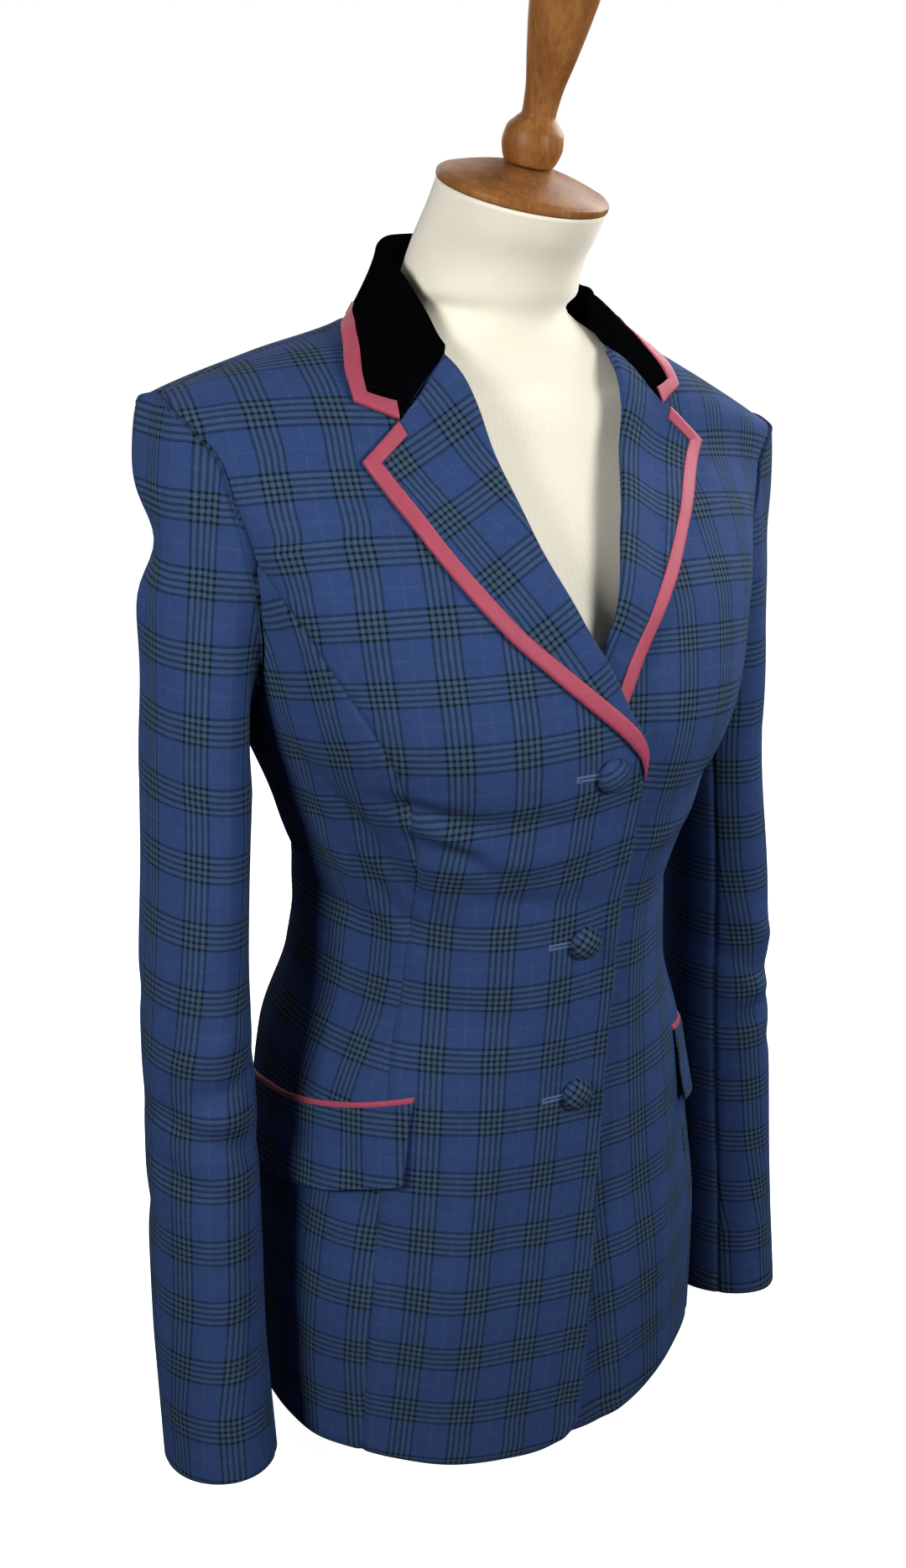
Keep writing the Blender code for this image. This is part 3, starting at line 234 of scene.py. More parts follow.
def curve(at, places, values, slope):
    """A curve through the values with the given slopes at them."""
    at = np.asarray(at, float)
    more = (1,) * (values.ndim - 1)
    gap = np.diff(places)
    i = np.clip(np.searchsorted(places, at) - 1, 0, len(gap) - 1)
    t = np.clip((at - places[i]) / gap[i], 0, 1).reshape(at.shape + more)
    step = gap[i].reshape(at.shape + more)
    ease = t * t * (3 - 2 * t)
    bend = step * t * (1 - t) * (slope[i] * (1 - t) - slope[i + 1] * t)
    return values[i] + (values[i + 1] - values[i]) * ease + bend


def smooth(at, places, values):
    """A curve through the values that never overshoots them."""
    places, values = np.asarray(places, float), np.asarray(values, float)
    rise = np.diff(values, axis=0) / np.diff(places).reshape((-1,) + (1,) * (values.ndim - 1))
    both = rise[:-1] * rise[1:]
    inner = np.where(both > 0, 2 * both / np.where(both > 0, rise[:-1] + rise[1:], 1), 0)
    return curve(at, places, values, np.concatenate([rise[:1], inner, rise[-1:]]))


def flowing(at, places, values):
    """A curve through the values that bends as evenly as it can."""
    places, values = np.asarray(places, float), np.asarray(values, float)
    return curve(at, places, values, np.gradient(values, places, axis=0))


def read(rows, key, at, *columns):
    """Columns of a table where its key column has the given values."""
    values = [smooth(at, rows[key], rows[name]) for name in columns]
    return values if len(values) > 1 else values[0]


def step_up(value, low, high):
    """A soft step from 0 at low to 1 at high."""
    t = np.clip((np.asarray(value, float) - low) / (high - low), 0, 1)
    return t * t * (3 - 2 * t)


def unit(vectors):
    """Vectors scaled to length one."""
    return vectors / np.maximum(np.linalg.norm(vectors, axis=-1, keepdims=True), 1e-12)


PROBE = 0.001  # small lift that shows which way a face looks


def lifted(place, a, b, lift):
    """Points of a surface place(a, b), moved out along its normal."""
    small = 1e-4
    across = place(a + small, b) - place(a - small, b)
    along = place(a, b + small) - place(a, b - small)
    return place(a, b) + unit(np.cross(across, along)) * np.asarray(lift, float)[..., None]


def body(turn, height, lift=0.0):
    """Points of the coat's outer face, by their turn in radians from the centre front to the left."""
    turn, height = np.broadcast_arrays(np.asarray(turn, float), np.asarray(height, float))

    def place(turn, height):
        """Points of the face itself."""
        half, front, back, centre, front_power, back_power = read(
            BODY, "height", height, "half_width", "front", "back", "centre", "front_power", "back_power")
        ahead = np.cos(turn) > 0
        power = 2 / np.where(ahead, front_power, back_power)
        x = half * np.sign(np.sin(turn)) * np.abs(np.sin(turn)) ** power
        y = np.where(ahead, -front, back) * np.abs(np.cos(turn)) ** power
        return np.stack([x, centre + y, height], -1)

    return lifted(place, turn, height, np.broadcast_to(lift, turn.shape))


def creases(turn, height, hand):
    """How far the creases move points of the body in or out."""
    depth = np.zeros(np.broadcast(turn, height).shape)
    for k in np.flatnonzero(CREASES["hand"] != -hand):
        aside = CREASE_RADIUS * (turn - math.radians(CREASES["turn"][k]))
        above = height - CREASES["height"][k]
        lean = math.radians(CREASES["lean"][k])
        along = (above * math.cos(lean) + aside * math.sin(lean)) / CREASES["length"][k]
        across = (aside * math.cos(lean) - above * math.sin(lean)) / CREASES["width"][k]
        depth = depth + CREASES["depth"][k] * np.exp(-along ** 2 - across ** 2)
    return depth


def draped(turn, height, hand, lift=0.0):
    """Own-side points of the coat with its creases."""
    return body(turn, height, lift + creases(turn, height, hand))


def turn_at_x(x, height, face):
    """Turn of the body point at a distance from its middle plane, on the front (-1) or the back (1)."""
    half, power = read(BODY, "height", height, "half_width", "front_power" if face < 0 else "back_power")
    turn = np.arcsin(np.clip(np.abs(x) / half, 0, 1) ** (power / 2))
    return np.sign(x) * (turn if face < 0 else math.pi - turn)


def turn_at_y(y, height):
    """Turn of the left body point at a depth y."""
    front, back, centre, front_power, back_power = read(
        BODY, "height", height, "front", "back", "centre", "front_power", "back_power")
    ahead = y < centre
    share = np.clip(np.abs(y - centre) / np.where(ahead, front, back), 0, 1)
    turn = np.arccos(share ** (np.where(ahead, front_power, back_power) / 2))
    return np.where(ahead, turn, math.pi - turn)


def armhole(turn):
    """Body turn and height of points round the armhole."""
    y, height = read(ARMHOLE, "turn", turn, "y", "height")
    return turn_at_y(y, height), height


def patch(left, right, bottom, top, across, along):
    """A flat patch between four edges: rows run along left and right, columns along bottom and top."""
    s, t = across[None, :, None], along[:, None, None]
    sides = (1 - s) * left[:, None] + s * right[:, None]
    ends = (1 - t) * bottom[None] + t * top[None]
    corners = ((1 - s) * (1 - t) * left[0] + s * (1 - t) * right[0]
               + (1 - s) * t * left[-1] + s * t * right[-1])
    return sides + ends - corners


def edge_view(grid, edge):
    """A view of a grid whose first column runs along the named edge."""
    return {"left": grid, "right": grid[:, ::-1], "bottom": grid.swapaxes(0, 1),
            "top": grid[::-1].swapaxes(0, 1)}[edge]


def sunk(grid, least=0.0):
    """Points let down where a shoulder sinks, below its tip by no less than a share of the whole."""
    spread = np.abs(grid[..., 0]) + SINK_EASE * np.minimum(grid[..., 1] - SINK_CHEST, 0)
    out = step_up(spread, *SINK_OUT)
    up = least + (1 - least) * step_up(grid[..., 2], *SINK_UP)
    return grid - np.stack([0 * out, 0 * out, SHOULDER_SINK * out * up], -1)


def sided(grid, hand, least=0.0):
    """Left-hand points with their sunk shoulder, or the same points unsunk on the right."""
    return sunk(grid, least) if hand == LEFT else grid * np.array([-1, 1, 1])


NEAR_EDGE = (0.0, 0.004, 0.010, 0.019)  # shares of the close rows at an edge
EDGE_BAND = 0.030  # share where the even rows start


def spaced(count, start=True, end=True):
    """Shares from 0 to 1, closer together near the chosen ends."""
    near = np.array(NEAR_EDGE)
    middle = np.linspace(EDGE_BAND if start else 0, 1 - EDGE_BAND if end else 1, count)
    return np.concatenate([near if start else near[:0], middle, 1 - near[::-1] if end else near[:0]])


# Seams: how far an edge sinks into one, and over what distance
SEAM_DIP = 0.0010
SEAM_REACH = 0.0020

# Rows and columns of the panels
LOW_ROWS = 170
HIGH_ROWS = 50
FRONT_COLUMNS = 60
SIDE_COLUMNS = 54
BACK_COLUMNS = 50
RIDGE_STEPS = 30  # points along the shoulder seam
HEM_CROWDING = 1.3  # how much closer the hem's points lie at the front edge

# How the fronts and the back neckline lie
ROLL_LIFT = 0.006  # how far the soft roll line stands off the chest
ROLL_WIDTH = 0.030
ROLL_START = {RIGHT: BREAK - 0.010, LEFT: 0.530}
ROLL_FULL = 0.580
ROLL_FADE = 0.680
EDGE_LIFT = 0.0012  # how far the right front's edge stands off the left front
EDGE_WIDTH = 0.014
EDGE_TOP = (0.440, 0.480)  # heights over which it lies close again, under the lapel
LAP_ROOM = WALL + 4 * SEAM_GAP
LAP_WIDTH = (0.026, 0.045)  # distances from the middle over which the left front comes out of the lap
LAP_TOP = (0.530, 0.575)  # heights over which it does
NECK_RISE = 0.006  # rise of the back neckline above the shoulder seams
NECK_CURVE = (0.5, 0.8)  # half way along that neckline, the share of the rise it still has
ARMHOLE_EASE = 0.450  # height from which the side-back seam bends to the armhole

# Heights on a panel's outer edge, and those across from them on its inner one
ROLL_MATCH = 0.630  # across from the top of the princess seam
FRONT_MATCH = [(0.640, 0.676), (0.667, 0.706), (SHOULDER_TIP, NECK_POINT)]
BACK_MATCH = [(0.600, 0.640), (0.640, 0.690), (0.667, 0.716), (SHOULDER_TIP, NECK_POINT + NECK_RISE)]


def column(hand):
    """Name of the column that holds a side's own values."""
    return "left" if hand == LEFT else "right"


def seam_x(turn, height):
    """Distance of seam points from the middle plane."""
    return body(turn, height)[..., 0]


def princess_seam(hand):
    """Distance from the middle and height along the princess seam, from the hem to the armhole."""
    top = float(armhole(PRINCESS_TURN)[1])
    height = HEM_SIDE[hand] + (top - HEM_SIDE[hand]) * spaced(LOW_ROWS, end=False)
    x = read(PRINCESS, "height", height, "x")
    short = seam_x(*armhole(PRINCESS_TURN)) - x[-1]
    return x + short * np.clip((height - top) / PRINCESS_EASE + 1, 0, 1), height


def ridge(share):
    """Distance from the middle and height along the shoulder seam, from the neck to the tip."""
    height = NECK_POINT + (SHOULDER_TIP - NECK_POINT) * share
    return read(BODY, "height", height, "half_width"), height


def roll_x(height, hand):
    """Distance of the front edge and roll line from the centre front, on a piece's own side."""
    return read(FRONT_EDGE, "height", height, column(hand))


def front_lift(x, height, hand):
    """How far a front stands off the body: out at its roll line, and in where the right front laps it."""
    near_roll = 1 - step_up(x - roll_x(height, hand), 0, ROLL_WIDTH)
    rolled = step_up(height, ROLL_START[hand], ROLL_FULL) * (1 - step_up(height, ROLL_FADE, NECK_POINT))
    lift = ROLL_LIFT * near_roll * rolled
    if hand == RIGHT:
        near_edge = 1 - step_up(x - roll_x(height, hand), 0, EDGE_WIDTH)
        lift = lift + EDGE_LIFT * near_edge * (1 - step_up(height, *EDGE_TOP))
    if hand == LEFT:
        lift = lift - LAP_ROOM * (1 - step_up(x, *LAP_WIDTH)) * (1 - step_up(height, *LAP_TOP))
    return lift


def own_front(x, height, hand, lift=0.0):
    """Own-side points of a front by their distance from the middle and height."""
    return draped(turn_at_x(x, height, -1), height, hand, front_lift(x, height, hand) + lift)


def front_panel(hand, lift=0.0):
    """Front from its edge and roll line to the princess seam, armhole and shoulder seam."""
    low_x, low = princess_seam(hand)
    turns = PRINCESS_TURN * (1 - spaced(HIGH_ROWS, start=False)[1:])
    arm_turn, arm_height = armhole(turns)
    outer = np.concatenate([np.stack([low_x, low], -1),
                            np.stack([seam_x(arm_turn, arm_height), arm_height], -1)])
    start = [(low[0], FRONT_EDGE["height"][0]), (BREAK, BREAK), (low[-1], ROLL_MATCH)]
    match = table("outer inner", start + FRONT_MATCH)
    inner_height = read(match, "outer", outer[:, 1], "inner")
    inner = np.stack([roll_x(inner_height, hand), inner_height], -1)
    across = spaced(FRONT_COLUMNS)
    along = (inner_height - inner_height[0]) / np.ptp(inner_height)
    hem_x = inner[0, 0] + (outer[0, 0] - inner[0, 0]) * across ** HEM_CROWDING
    hem = np.stack([hem_x, read(HEM, "x", hem_x, column(hand))], -1)
    shoulder = np.stack(ridge(across), -1)
    x, height = np.moveaxis(patch(inner, outer, hem, shoulder, across, along), -1, 0)
    return sided(own_front(x, height, hand, lift), hand)


def side_back_edge(hand):
    """Turn and height down the side-back seam, from the hem to the armhole."""
    top_turn, top_height = armhole(BACK_SEAM_TURN)
    height = HEM_SIDE[hand] + (float(top_height) - HEM_SIDE[hand]) * spaced(LOW_ROWS, end=False)
    turn = np.radians(read(SIDE_BACK, "height", height, "turn"))
    return turn + (top_turn - turn[-1]) * step_up(height, ARMHOLE_EASE, height[-1]), height


def side_panel(hand, lift=0.0):
    """Side from the princess seam under the arm to the side-back seam."""
    front_x, low = princess_seam(hand)
    left = np.stack([turn_at_x(front_x, low, -1), low], -1)
    right = np.stack(side_back_edge(hand), -1)
    across = spaced(SIDE_COLUMNS)
    along = (low - low[0]) / np.ptp(low)
    top = np.stack(armhole(PRINCESS_TURN + (BACK_SEAM_TURN - PRINCESS_TURN) * across), -1)
    hem = np.stack([left[0, 0] + (right[0, 0] - left[0, 0]) * across, np.full_like(across, low[0])], -1)
    turn, height = np.moveaxis(patch(left, right, hem, top, across, along), -1, 0)
    return sided(draped(turn, height, hand, lift), hand)


def back_panel(hand, lift=0.0):
    """Half back from the centre seam to the side-back seam, armhole, shoulder seam and neck."""
    turn, height = side_back_edge(hand)
    arm_share = spaced(HIGH_ROWS, start=False)[1:]
    arm_turn, arm_height = armhole(BACK_SEAM_TURN + (360 - BACK_SEAM_TURN) * arm_share)
    turn, height = np.concatenate([turn, arm_turn]), np.concatenate([height, arm_height])
    outer = np.stack([seam_x(turn, height), height], -1)
    match = table("outer inner", [(height[0], HEM_BACK)] + BACK_MATCH)
    middle_height = read(match, "outer", height, "inner")
    middle = np.stack([np.zeros_like(middle_height), middle_height], -1)
    across = spaced(BACK_COLUMNS)
    along = (middle_height - middle_height[0]) / np.ptp(middle_height)
    hem = np.stack([outer[0, 0] * across, HEM_BACK + (height[0] - HEM_BACK) * across], -1)
    ridge_x, ridge_height = ridge(np.linspace(0, 1, RIDGE_STEPS))
    neck_height = NECK_POINT + NECK_CURVE[1] * NECK_RISE
    crest_x = np.concatenate([[0, NECK_CURVE[0] * ridge_x[0]], ridge_x])
    crest_height = np.concatenate([[middle_height[-1], neck_height], ridge_height])
    top_x = outer[-1, 0] * across
    top = np.stack([top_x, np.interp(top_x, crest_x, crest_height)], -1)
    x, height = np.moveaxis(patch(middle, outer, hem, top, across, along), -1, 0)
    turn = turn_at_x(np.maximum(x, 1e-6), height, 1)
    return sided(draped(turn, height, hand, lift), hand)


# Sleeve seams, by their turn about the sleeve, and its rows
FRONT_SLEEVE_SEAM = 140.0
BACK_SLEEVE_SEAM = 262.0
TOP_COLUMNS = 104
UNDER_COLUMNS = 50
HEAD_ROWS = 60
ARM_ROWS = 150
CUFF_SLANT = 0.20  # rise of the cuff from its back to its front, per length
SLANT_TOP = 0.260  # height where the sleeve's sections are level again
PUCKERS = 26  # gathers round the whole armhole, which show over the sleeve's head
PUCKER_DEPTH = 0.0003
PUCKER_START = 0.03  # share of the head over which they rise from the seam
PUCKER_LENGTH = 0.12  # share of it over which they fade
TURN_ON = 0.5  # small turn on, which shows which way the armhole runs, degrees
TUCK = 0.0030  # how far the sleeve's edge goes in behind the armhole
HEAD_CROWDING = 1.6  # how much closer its rows lie near the armhole
HEAD_LENGTH = 0.20  # mean length of the head, which turns shares into distances
HEAD_DIP = 0.0003
HEAD_ROLL = 0.0010  # height of the soft roll that the seam allowance makes, and its place and reach
HEAD_ROLL_AT = 0.0040
HEAD_ROLL_REACH = 0.0032


def fold_depth(turn, height, folds):
    """How far the folds move points of a sleeve in or out."""
    depth = np.zeros(np.broadcast(turn, height).shape)
    for k in range(len(folds["turn"])):
        aside = (turn - folds["turn"][k] + 180) % 360 - 180
        wide = aside / folds["turn_size"][k]
        middle = folds["height"][k] + folds["lean"][k] * np.radians(aside)
        tall = (height - middle) / folds["height_size"][k]
        depth = depth + folds["depth"][k] * np.exp(-wide ** 2 - tall ** 2)
    return depth


def sleeve(turn, hand):
    """Sleeve lines at the given turns: rows from the armhole to the cuff, columns round the sleeve."""
    arm_turn, arm_height = armhole(turn % 360)
    start = body(arm_turn, arm_height)
    normal = unit(body(arm_turn, arm_height, PROBE) - start)
    ahead = body(*armhole((turn + TURN_ON) % 360))
    outward = unit(np.cross(normal, ahead - start))
    along, out, leave, arrive = read(SLEEVE_HEAD, "turn", turn % 360, "along", "out", "start", "arrive")
    direction = unit(outward * along[:, None] + normal * out[:, None])
    angle = np.radians(turn)

    def ring(height):
        """The sleeve's section at a height."""
        x, y, half_width, half_depth = read(SLEEVE, "height", height, "x", "y", "half_width", "half_depth")
        slant = CUFF_SLANT * (1 - step_up(height, SLEEVE["height"][0], SLANT_TOP))
        return np.stack([x + half_width * np.cos(angle), y - half_depth * np.sin(angle),
                         height + slant * half_depth * np.sin(angle)], -1)

    head_foot, cuff = SLEEVE["height"][-1], SLEEVE["height"][0]
    first = ring(head_foot)
    over_head = np.clip(np.cos(angle), 0, 1)
    rows = [start - outward * TUCK - normal * TUCK]
    for t in np.linspace(0, 1, HEAD_ROWS) ** HEAD_CROWDING:
        ease = t * t * (3 - 2 * t)
        fall = np.array([0, 0, -1.0]) * arrive[:, None]
        row = (start + (first - start) * ease + direction * leave[:, None] * t * (1 - t) ** 2
               - fall * t * t * (1 - t))
        away = t * HEAD_LENGTH
        roll = HEAD_ROLL * math.exp(-((away - HEAD_ROLL_AT) / HEAD_ROLL_REACH) ** 2)
        roll = roll - HEAD_DIP * math.exp(-(away / SEAM_REACH) ** 2)
        ripple = PUCKER_DEPTH * np.cos(PUCKERS * angle) * over_head * math.exp(-t / PUCKER_LENGTH)
        rows.append(row + normal * (roll + ripple * min(t / PUCKER_START, 1))[:, None])
    heights = head_foot + (cuff - head_foot) * spaced(ARM_ROWS, start=False)
    rows += [ring(h) for h in heights[1:]]
    grid = np.array(rows)
    depth = fold_depth(turn[None], grid[..., 2], SLEEVE_FOLDS)
    grid = grid + np.stack([np.cos(angle), -np.sin(angle), 0 * angle], -1)[None] * depth[..., None]
    return sided(grid, hand, SLEEVE_SINK)


def top_sleeve(hand):
    """The sleeve's upper piece, over the arm from seam to seam."""
    start = BACK_SLEEVE_SEAM - 360
    return sleeve(start + (FRONT_SLEEVE_SEAM - start) * spaced(TOP_COLUMNS), hand)


def under_sleeve(hand):
    """The sleeve's lower piece, next to the body."""
    return sleeve(FRONT_SLEEVE_SEAM + (BACK_SLEEVE_SEAM - FRONT_SLEEVE_SEAM) * spaced(UNDER_COLUMNS), hand)


# Lapel: outer edge from its foot, where it runs out into the front edge, to the point
LAPEL_FOOT = 0.474
LAPEL_EDGE = table("height right left", [
    (LAPEL_FOOT, -0.0225, -0.0225), (BREAK, -0.0190, -0.0190), (0.494, -0.0125, -0.0120),
    (0.503, -0.003, -0.004), (0.520, 0.017, 0.008), (0.540, 0.039, 0.020),
    (0.561, 0.060, 0.035), (0.584, 0.077, 0.056), (0.614, 0.094, 0.082), (LAPEL_TIP, 0.110, 0.109)])
LAPEL_OVER = 0.0032  # how far the lapel's face stands off its front's
NOTCH = 0.60  # share of the lapel's top edge that is sewn to the collar
LAPEL_START = {RIGHT: 0.03, LEFT: 0.26}  # lowest row of each lapel, as a share of its height
RIBBON_START = {RIGHT: 0.0, LEFT: 0.26}  # lowest place of its ribbon
RIBBON_THIN = (0.25, 0.10)  # share of its thickness at the foot, and of the height where that is whole
LEAST_WIDTH = 0.0008
LAPEL_ROWS = 90
LAPEL_COLUMNS = 36
ROLL_TURN = 0.85  # how far round its roll the lapel's cloth shows, in half turns
ROLL_STEPS = 9
BREAK_EASE = 0.12  # share of its height over which the lapel rises off the front
BREAK_OVER = 0.60  # share of its rise that it has at the break


def own_lapel(s, t, hand, lift=0.0):
    """Own-side points of a lapel's outer face: s from its roll line to its edge, t from break to top."""
    s, t = np.broadcast_arrays(np.asarray(s, float), np.asarray(t, float))
    roll_height = LAPEL_FOOT + (GORGE_TOP - LAPEL_FOOT) * t
    edge_height = LAPEL_FOOT + (LAPEL_TIP - LAPEL_FOOT) * t
    fold_x = roll_x(roll_height, hand)
    edge_x = np.maximum(read(LAPEL_EDGE, "height", edge_height, column(hand)), fold_x + LEAST_WIDTH)
    x = (1 - s) * fold_x + s * edge_x
    height = (1 - s) * roll_height + s * edge_height
    over = LAPEL_OVER * (BREAK_OVER + (1 - BREAK_OVER) * step_up(t, 0, BREAK_EASE))
    return body(turn_at_x(x, height, -1), height, front_lift(x, height, hand) + over + lift)


def lapel(s, t, hand, lift=0.0):
    """Lapel points on the named side."""
    return sided(own_lapel(s, t, hand, lift), hand)


def lapel_panel(hand):
    """Lapel with its rolled edge: columns come up round the roll, then cross to the outer edge."""
    t = (LAPEL_START[hand] + (1 - LAPEL_START[hand]) * spaced(LAPEL_ROWS))[:, None]
    s = spaced(LAPEL_COLUMNS, start=False)[None]
    radius = (LAPEL_OVER + WALL) / 2
    swing = np.linspace(ROLL_TURN * math.pi, 0, ROLL_STEPS)[None, :-1]
    under = own_lapel(0.0, t + 0 * swing, hand, radius * (np.cos(swing) - 1))
    inward = unit(own_lapel(0.0, t, hand) - own_lapel(0.02, t, hand))
    rolled = under + inward * (radius * np.sin(swing))[..., None]
    return sided(np.concatenate([rolled, own_lapel(s + 0 * t, t + 0 * s, hand)], 1), hand)


# Ribbon folded over an edge: share of its width in from the edge, lift off the face, reach past the edge
RIBBON = table("inset lift out", [
    (1.00, 0.0001, 0.0), (1.00, 0.0006, 0.0), (0.95, 0.0009, 0.0), (0.72, 0.0010, 0.0), (0.45, 0.0010, 0.0),
    (0.20, 0.0010, 0.0), (0.06, 0.0009, 0.0002), (0.0, 0.0005, 0.0007), (0.0, -0.0009, 0.0010),
    (0.0, -0.0023, 0.0007), (0.06, -0.0027, 0.0002), (0.40, -0.0027, 0.0), (0.78, -0.0026, 0.0),
    (0.80, -0.0019, 0.0), (0.40, -0.0019, 0.0), (0.06, -0.0018, 0.0), (0.0, -0.0009, 0.0003),
    (0.06, 0.0, 0.0), (0.45, 0.0, 0.0)])
RIBBON_MOST = 0.97  # most of the lapel's width that it takes
RIBBON_STEPS = 26  # points along an end
NOTCH_ROOM = 0.01  # share of the lapel's top where it stops short of the notch
ACROSS_EDGE = 0.2  # share of its width over which the way out past the edge is measured
LAPEL_NEAR = 0.2  # share of the lapel's edge over which its length is measured
COLLAR_NEAR = (0.03, 0.1)  # shares of the collar's length and width over which they are


def bound_rings(place, outer, inner, thick=1.0):
    """Closed rings of a ribbon folded over the edge outer, as wide as the way to inner."""
    thick = np.broadcast_to(thick, len(outer))
    edge_out = unit(place(outer, 0 * thick) - place(outer + ACROSS_EDGE * (inner - outer), 0 * thick))
    rings = [place(outer + inset * (inner - outer), lift * thick) + edge_out * (out * thick)[:, None]
             for inset, lift, out in zip(RIBBON["inset"], RIBBON["lift"], RIBBON["out"])]
    return np.stack(rings, 1)


def lapel_binding(hand):
    """Ribbon up the lapel's outer edge and along its free top edge to the notch."""
    t = RIBBON_START[hand] + (1 - RIBBON_START[hand]) * spaced(LAPEL_ROWS, start=False)
    wide = np.linalg.norm(lapel(1.0, t, hand) - lapel(0.0, t, hand), axis=-1)
    share = np.minimum(BINDING_WIDTH / wide, RIBBON_MOST)
    near_top = np.linalg.norm(lapel(1.0, 1.0, hand) - lapel(1.0, 1 - LAPEL_NEAR, hand))
    tall = BINDING_WIDTH / near_top * LAPEL_NEAR
    top_s = np.linspace(1, NOTCH + NOTCH_ROOM, RIBBON_STEPS)[1:]
    outer = np.stack([np.append(t, 0 * top_s + 1), np.append(0 * t + 1, top_s)], -1)
    inner = np.stack([np.append(np.minimum(t, 1 - tall), 0 * top_s + 1 - tall),
                      np.append(1 - share, np.minimum(top_s, 1 - share[-1]))], -1)
    thick = RIBBON_THIN[0] + (1 - RIBBON_THIN[0]) * step_up(outer[:, 0], 0, RIBBON_THIN[1])
    return bound_rings(lambda at, lift: lapel(at[:, 1], at[:, 0], hand, lift), outer, inner, thick)


# Collar: the velvet piece that turns over at its fold
COLLAR_CENTRE = -0.005
COLLAR_WALL = 0.0018
COLLAR_CROWN = (-0.0010, 0.0020)  # fullness of the fall between its fold and edge, outward and upward
COLLAR_DRAW = 0.0085  # how far its edge is drawn in beside the neck
DRAW_SHARES = (0.15, 0.45, 0.52, 0.75)
COLLAR_FOLD = 0.0036  # radius of the turned fold
COLLAR_TIP = np.array([0.109, -0.070, 0.6755])
COLLAR_SINK = 0.012  # how much lower the fold lies on the left
SINK_SHARES = (0.20, 0.60)  # shares of the collar where it sinks there, and where it is level again
RISE_SHARES = (0.65, 0.90)
LEAST_STAND = {RIGHT: 0.0135, LEFT: 0.0030}
STAND_SHORTER = (0.40, 0.62)  # shares over which the left stand gives up what goes behind the front
LAID_SHARES = (0.75, 1.0)  # shares over which the collar turns to lie as the lapel does
NOTCH_SHARES = (0.85, 1.0)  # shares over which its middle is drawn to the notch
COLLAR_ROOM = 4 * SEAM_GAP  # between the collar and the fronts
STAND_DEEPER = (0.006, 0.006, 0.006, 0.008, 0.013, 0.008)  # how far it goes down behind the fronts and back
NARROWER = 0.009  # how much nearer the neck its edge lies on the left
NARROW_SHARES = (0.50, 0.80)
COLLAR_END = 0.990  # share where the velvet stops, clear of the lapel
STAND_TOP = 0.20  # places across the collar: top of the stand, outer side of the fold, the notch
FALL_TOP = 0.40
COLLAR_NOTCH = 0.62
COLLAR_ROWS = 80  # rows of each half
COLLAR_CROWDING = 1.3  # how much closer they lie at its end
STAND_STEPS, FOLD_STEPS, FALL_STEPS = 8, 16, 34
COLLAR_SHARES = COLLAR_END * (1 - (1 - np.linspace(0, 1, COLLAR_ROWS)) ** COLLAR_CROWDING)
COLLAR_ACROSS = np.concatenate([np.linspace(0, STAND_TOP, STAND_STEPS + 1)[:-1],
                                np.linspace(STAND_TOP, FALL_TOP, FOLD_STEPS + 1)[:-1],
                                FALL_TOP + (1 - FALL_TOP) * spaced(FALL_STEPS, start=False)])

# Places where the collar's fall is held clear of the fronts
PUSH_SHARES = np.linspace(0.56, 1.0, 34)
PUSH_ACROSS = np.linspace(FALL_TOP, 1, 13)
PUSH_EASE = (0.62, 0.80)  # shares over which the collar comes to lie on the fronts
PUSH_BLUR = 4


def clear_of_front(hand):
    """How far the collar's fall is moved to clear a front, evened out, for shares and places across."""
    points = hanging_collar(PUSH_SHARES[:, None], PUSH_ACROSS[None], hand)
    x, height = points[..., 0], points[..., 2]
    turn = turn_at_x(x, height, -1)
    face = body(turn, height)
    normal = unit(body(turn, height, PROBE) - face)
    short = COLLAR_WALL + COLLAR_ROOM + front_lift(x, height, hand) - ((points - face) * normal).sum(-1)
    push = normal * (np.maximum(short, 0) * step_up(PUSH_SHARES, *PUSH_EASE)[:, None])[..., None]
    for _ in range(PUSH_BLUR):
        spread = np.pad(push, ((1, 1), (1, 1), (0, 0)), "edge")
        along = (spread[:-2] + 2 * spread[1:-1] + spread[2:]) / 4
        push = (along[:, :-2] + 2 * along[:, 1:-1] + along[:, 2:]) / 4
    return push


def laid(values, share, across):
    """Values of a push table at any shares and places across."""
    def spot(at, places):
        """The number of the place before each value, and the share of the way on to the next."""
        number = np.clip((at - places[0]) / (places[1] - places[0]), 0, len(places) - 1.001)
        return number.astype(int), (number - number.astype(int))[..., None]

    i, s = spot(share, PUSH_SHARES)
    j, t = spot(across, PUSH_ACROSS)
    low = values[i, j] * (1 - t) + values[i, j + 1] * t
    return low * (1 - s) + (values[i + 1, j] * (1 - t) + values[i + 1, j + 1] * t) * s


COLLAR_PUSH = {}  # how far each side's fall is moved, kept once it is worked out


def own_collar(share, across, hand):
    """Own-side collar points, laid on the fronts."""
    share, across = np.broadcast_arrays(np.asarray(share, float), np.asarray(across, float))
    if hand not in COLLAR_PUSH:
        COLLAR_PUSH[hand] = clear_of_front(hand)
    push = laid(COLLAR_PUSH[hand], share, across)
    return hanging_collar(share, across, hand) + push * step_up(across, STAND_TOP, FALL_TOP)[..., None]


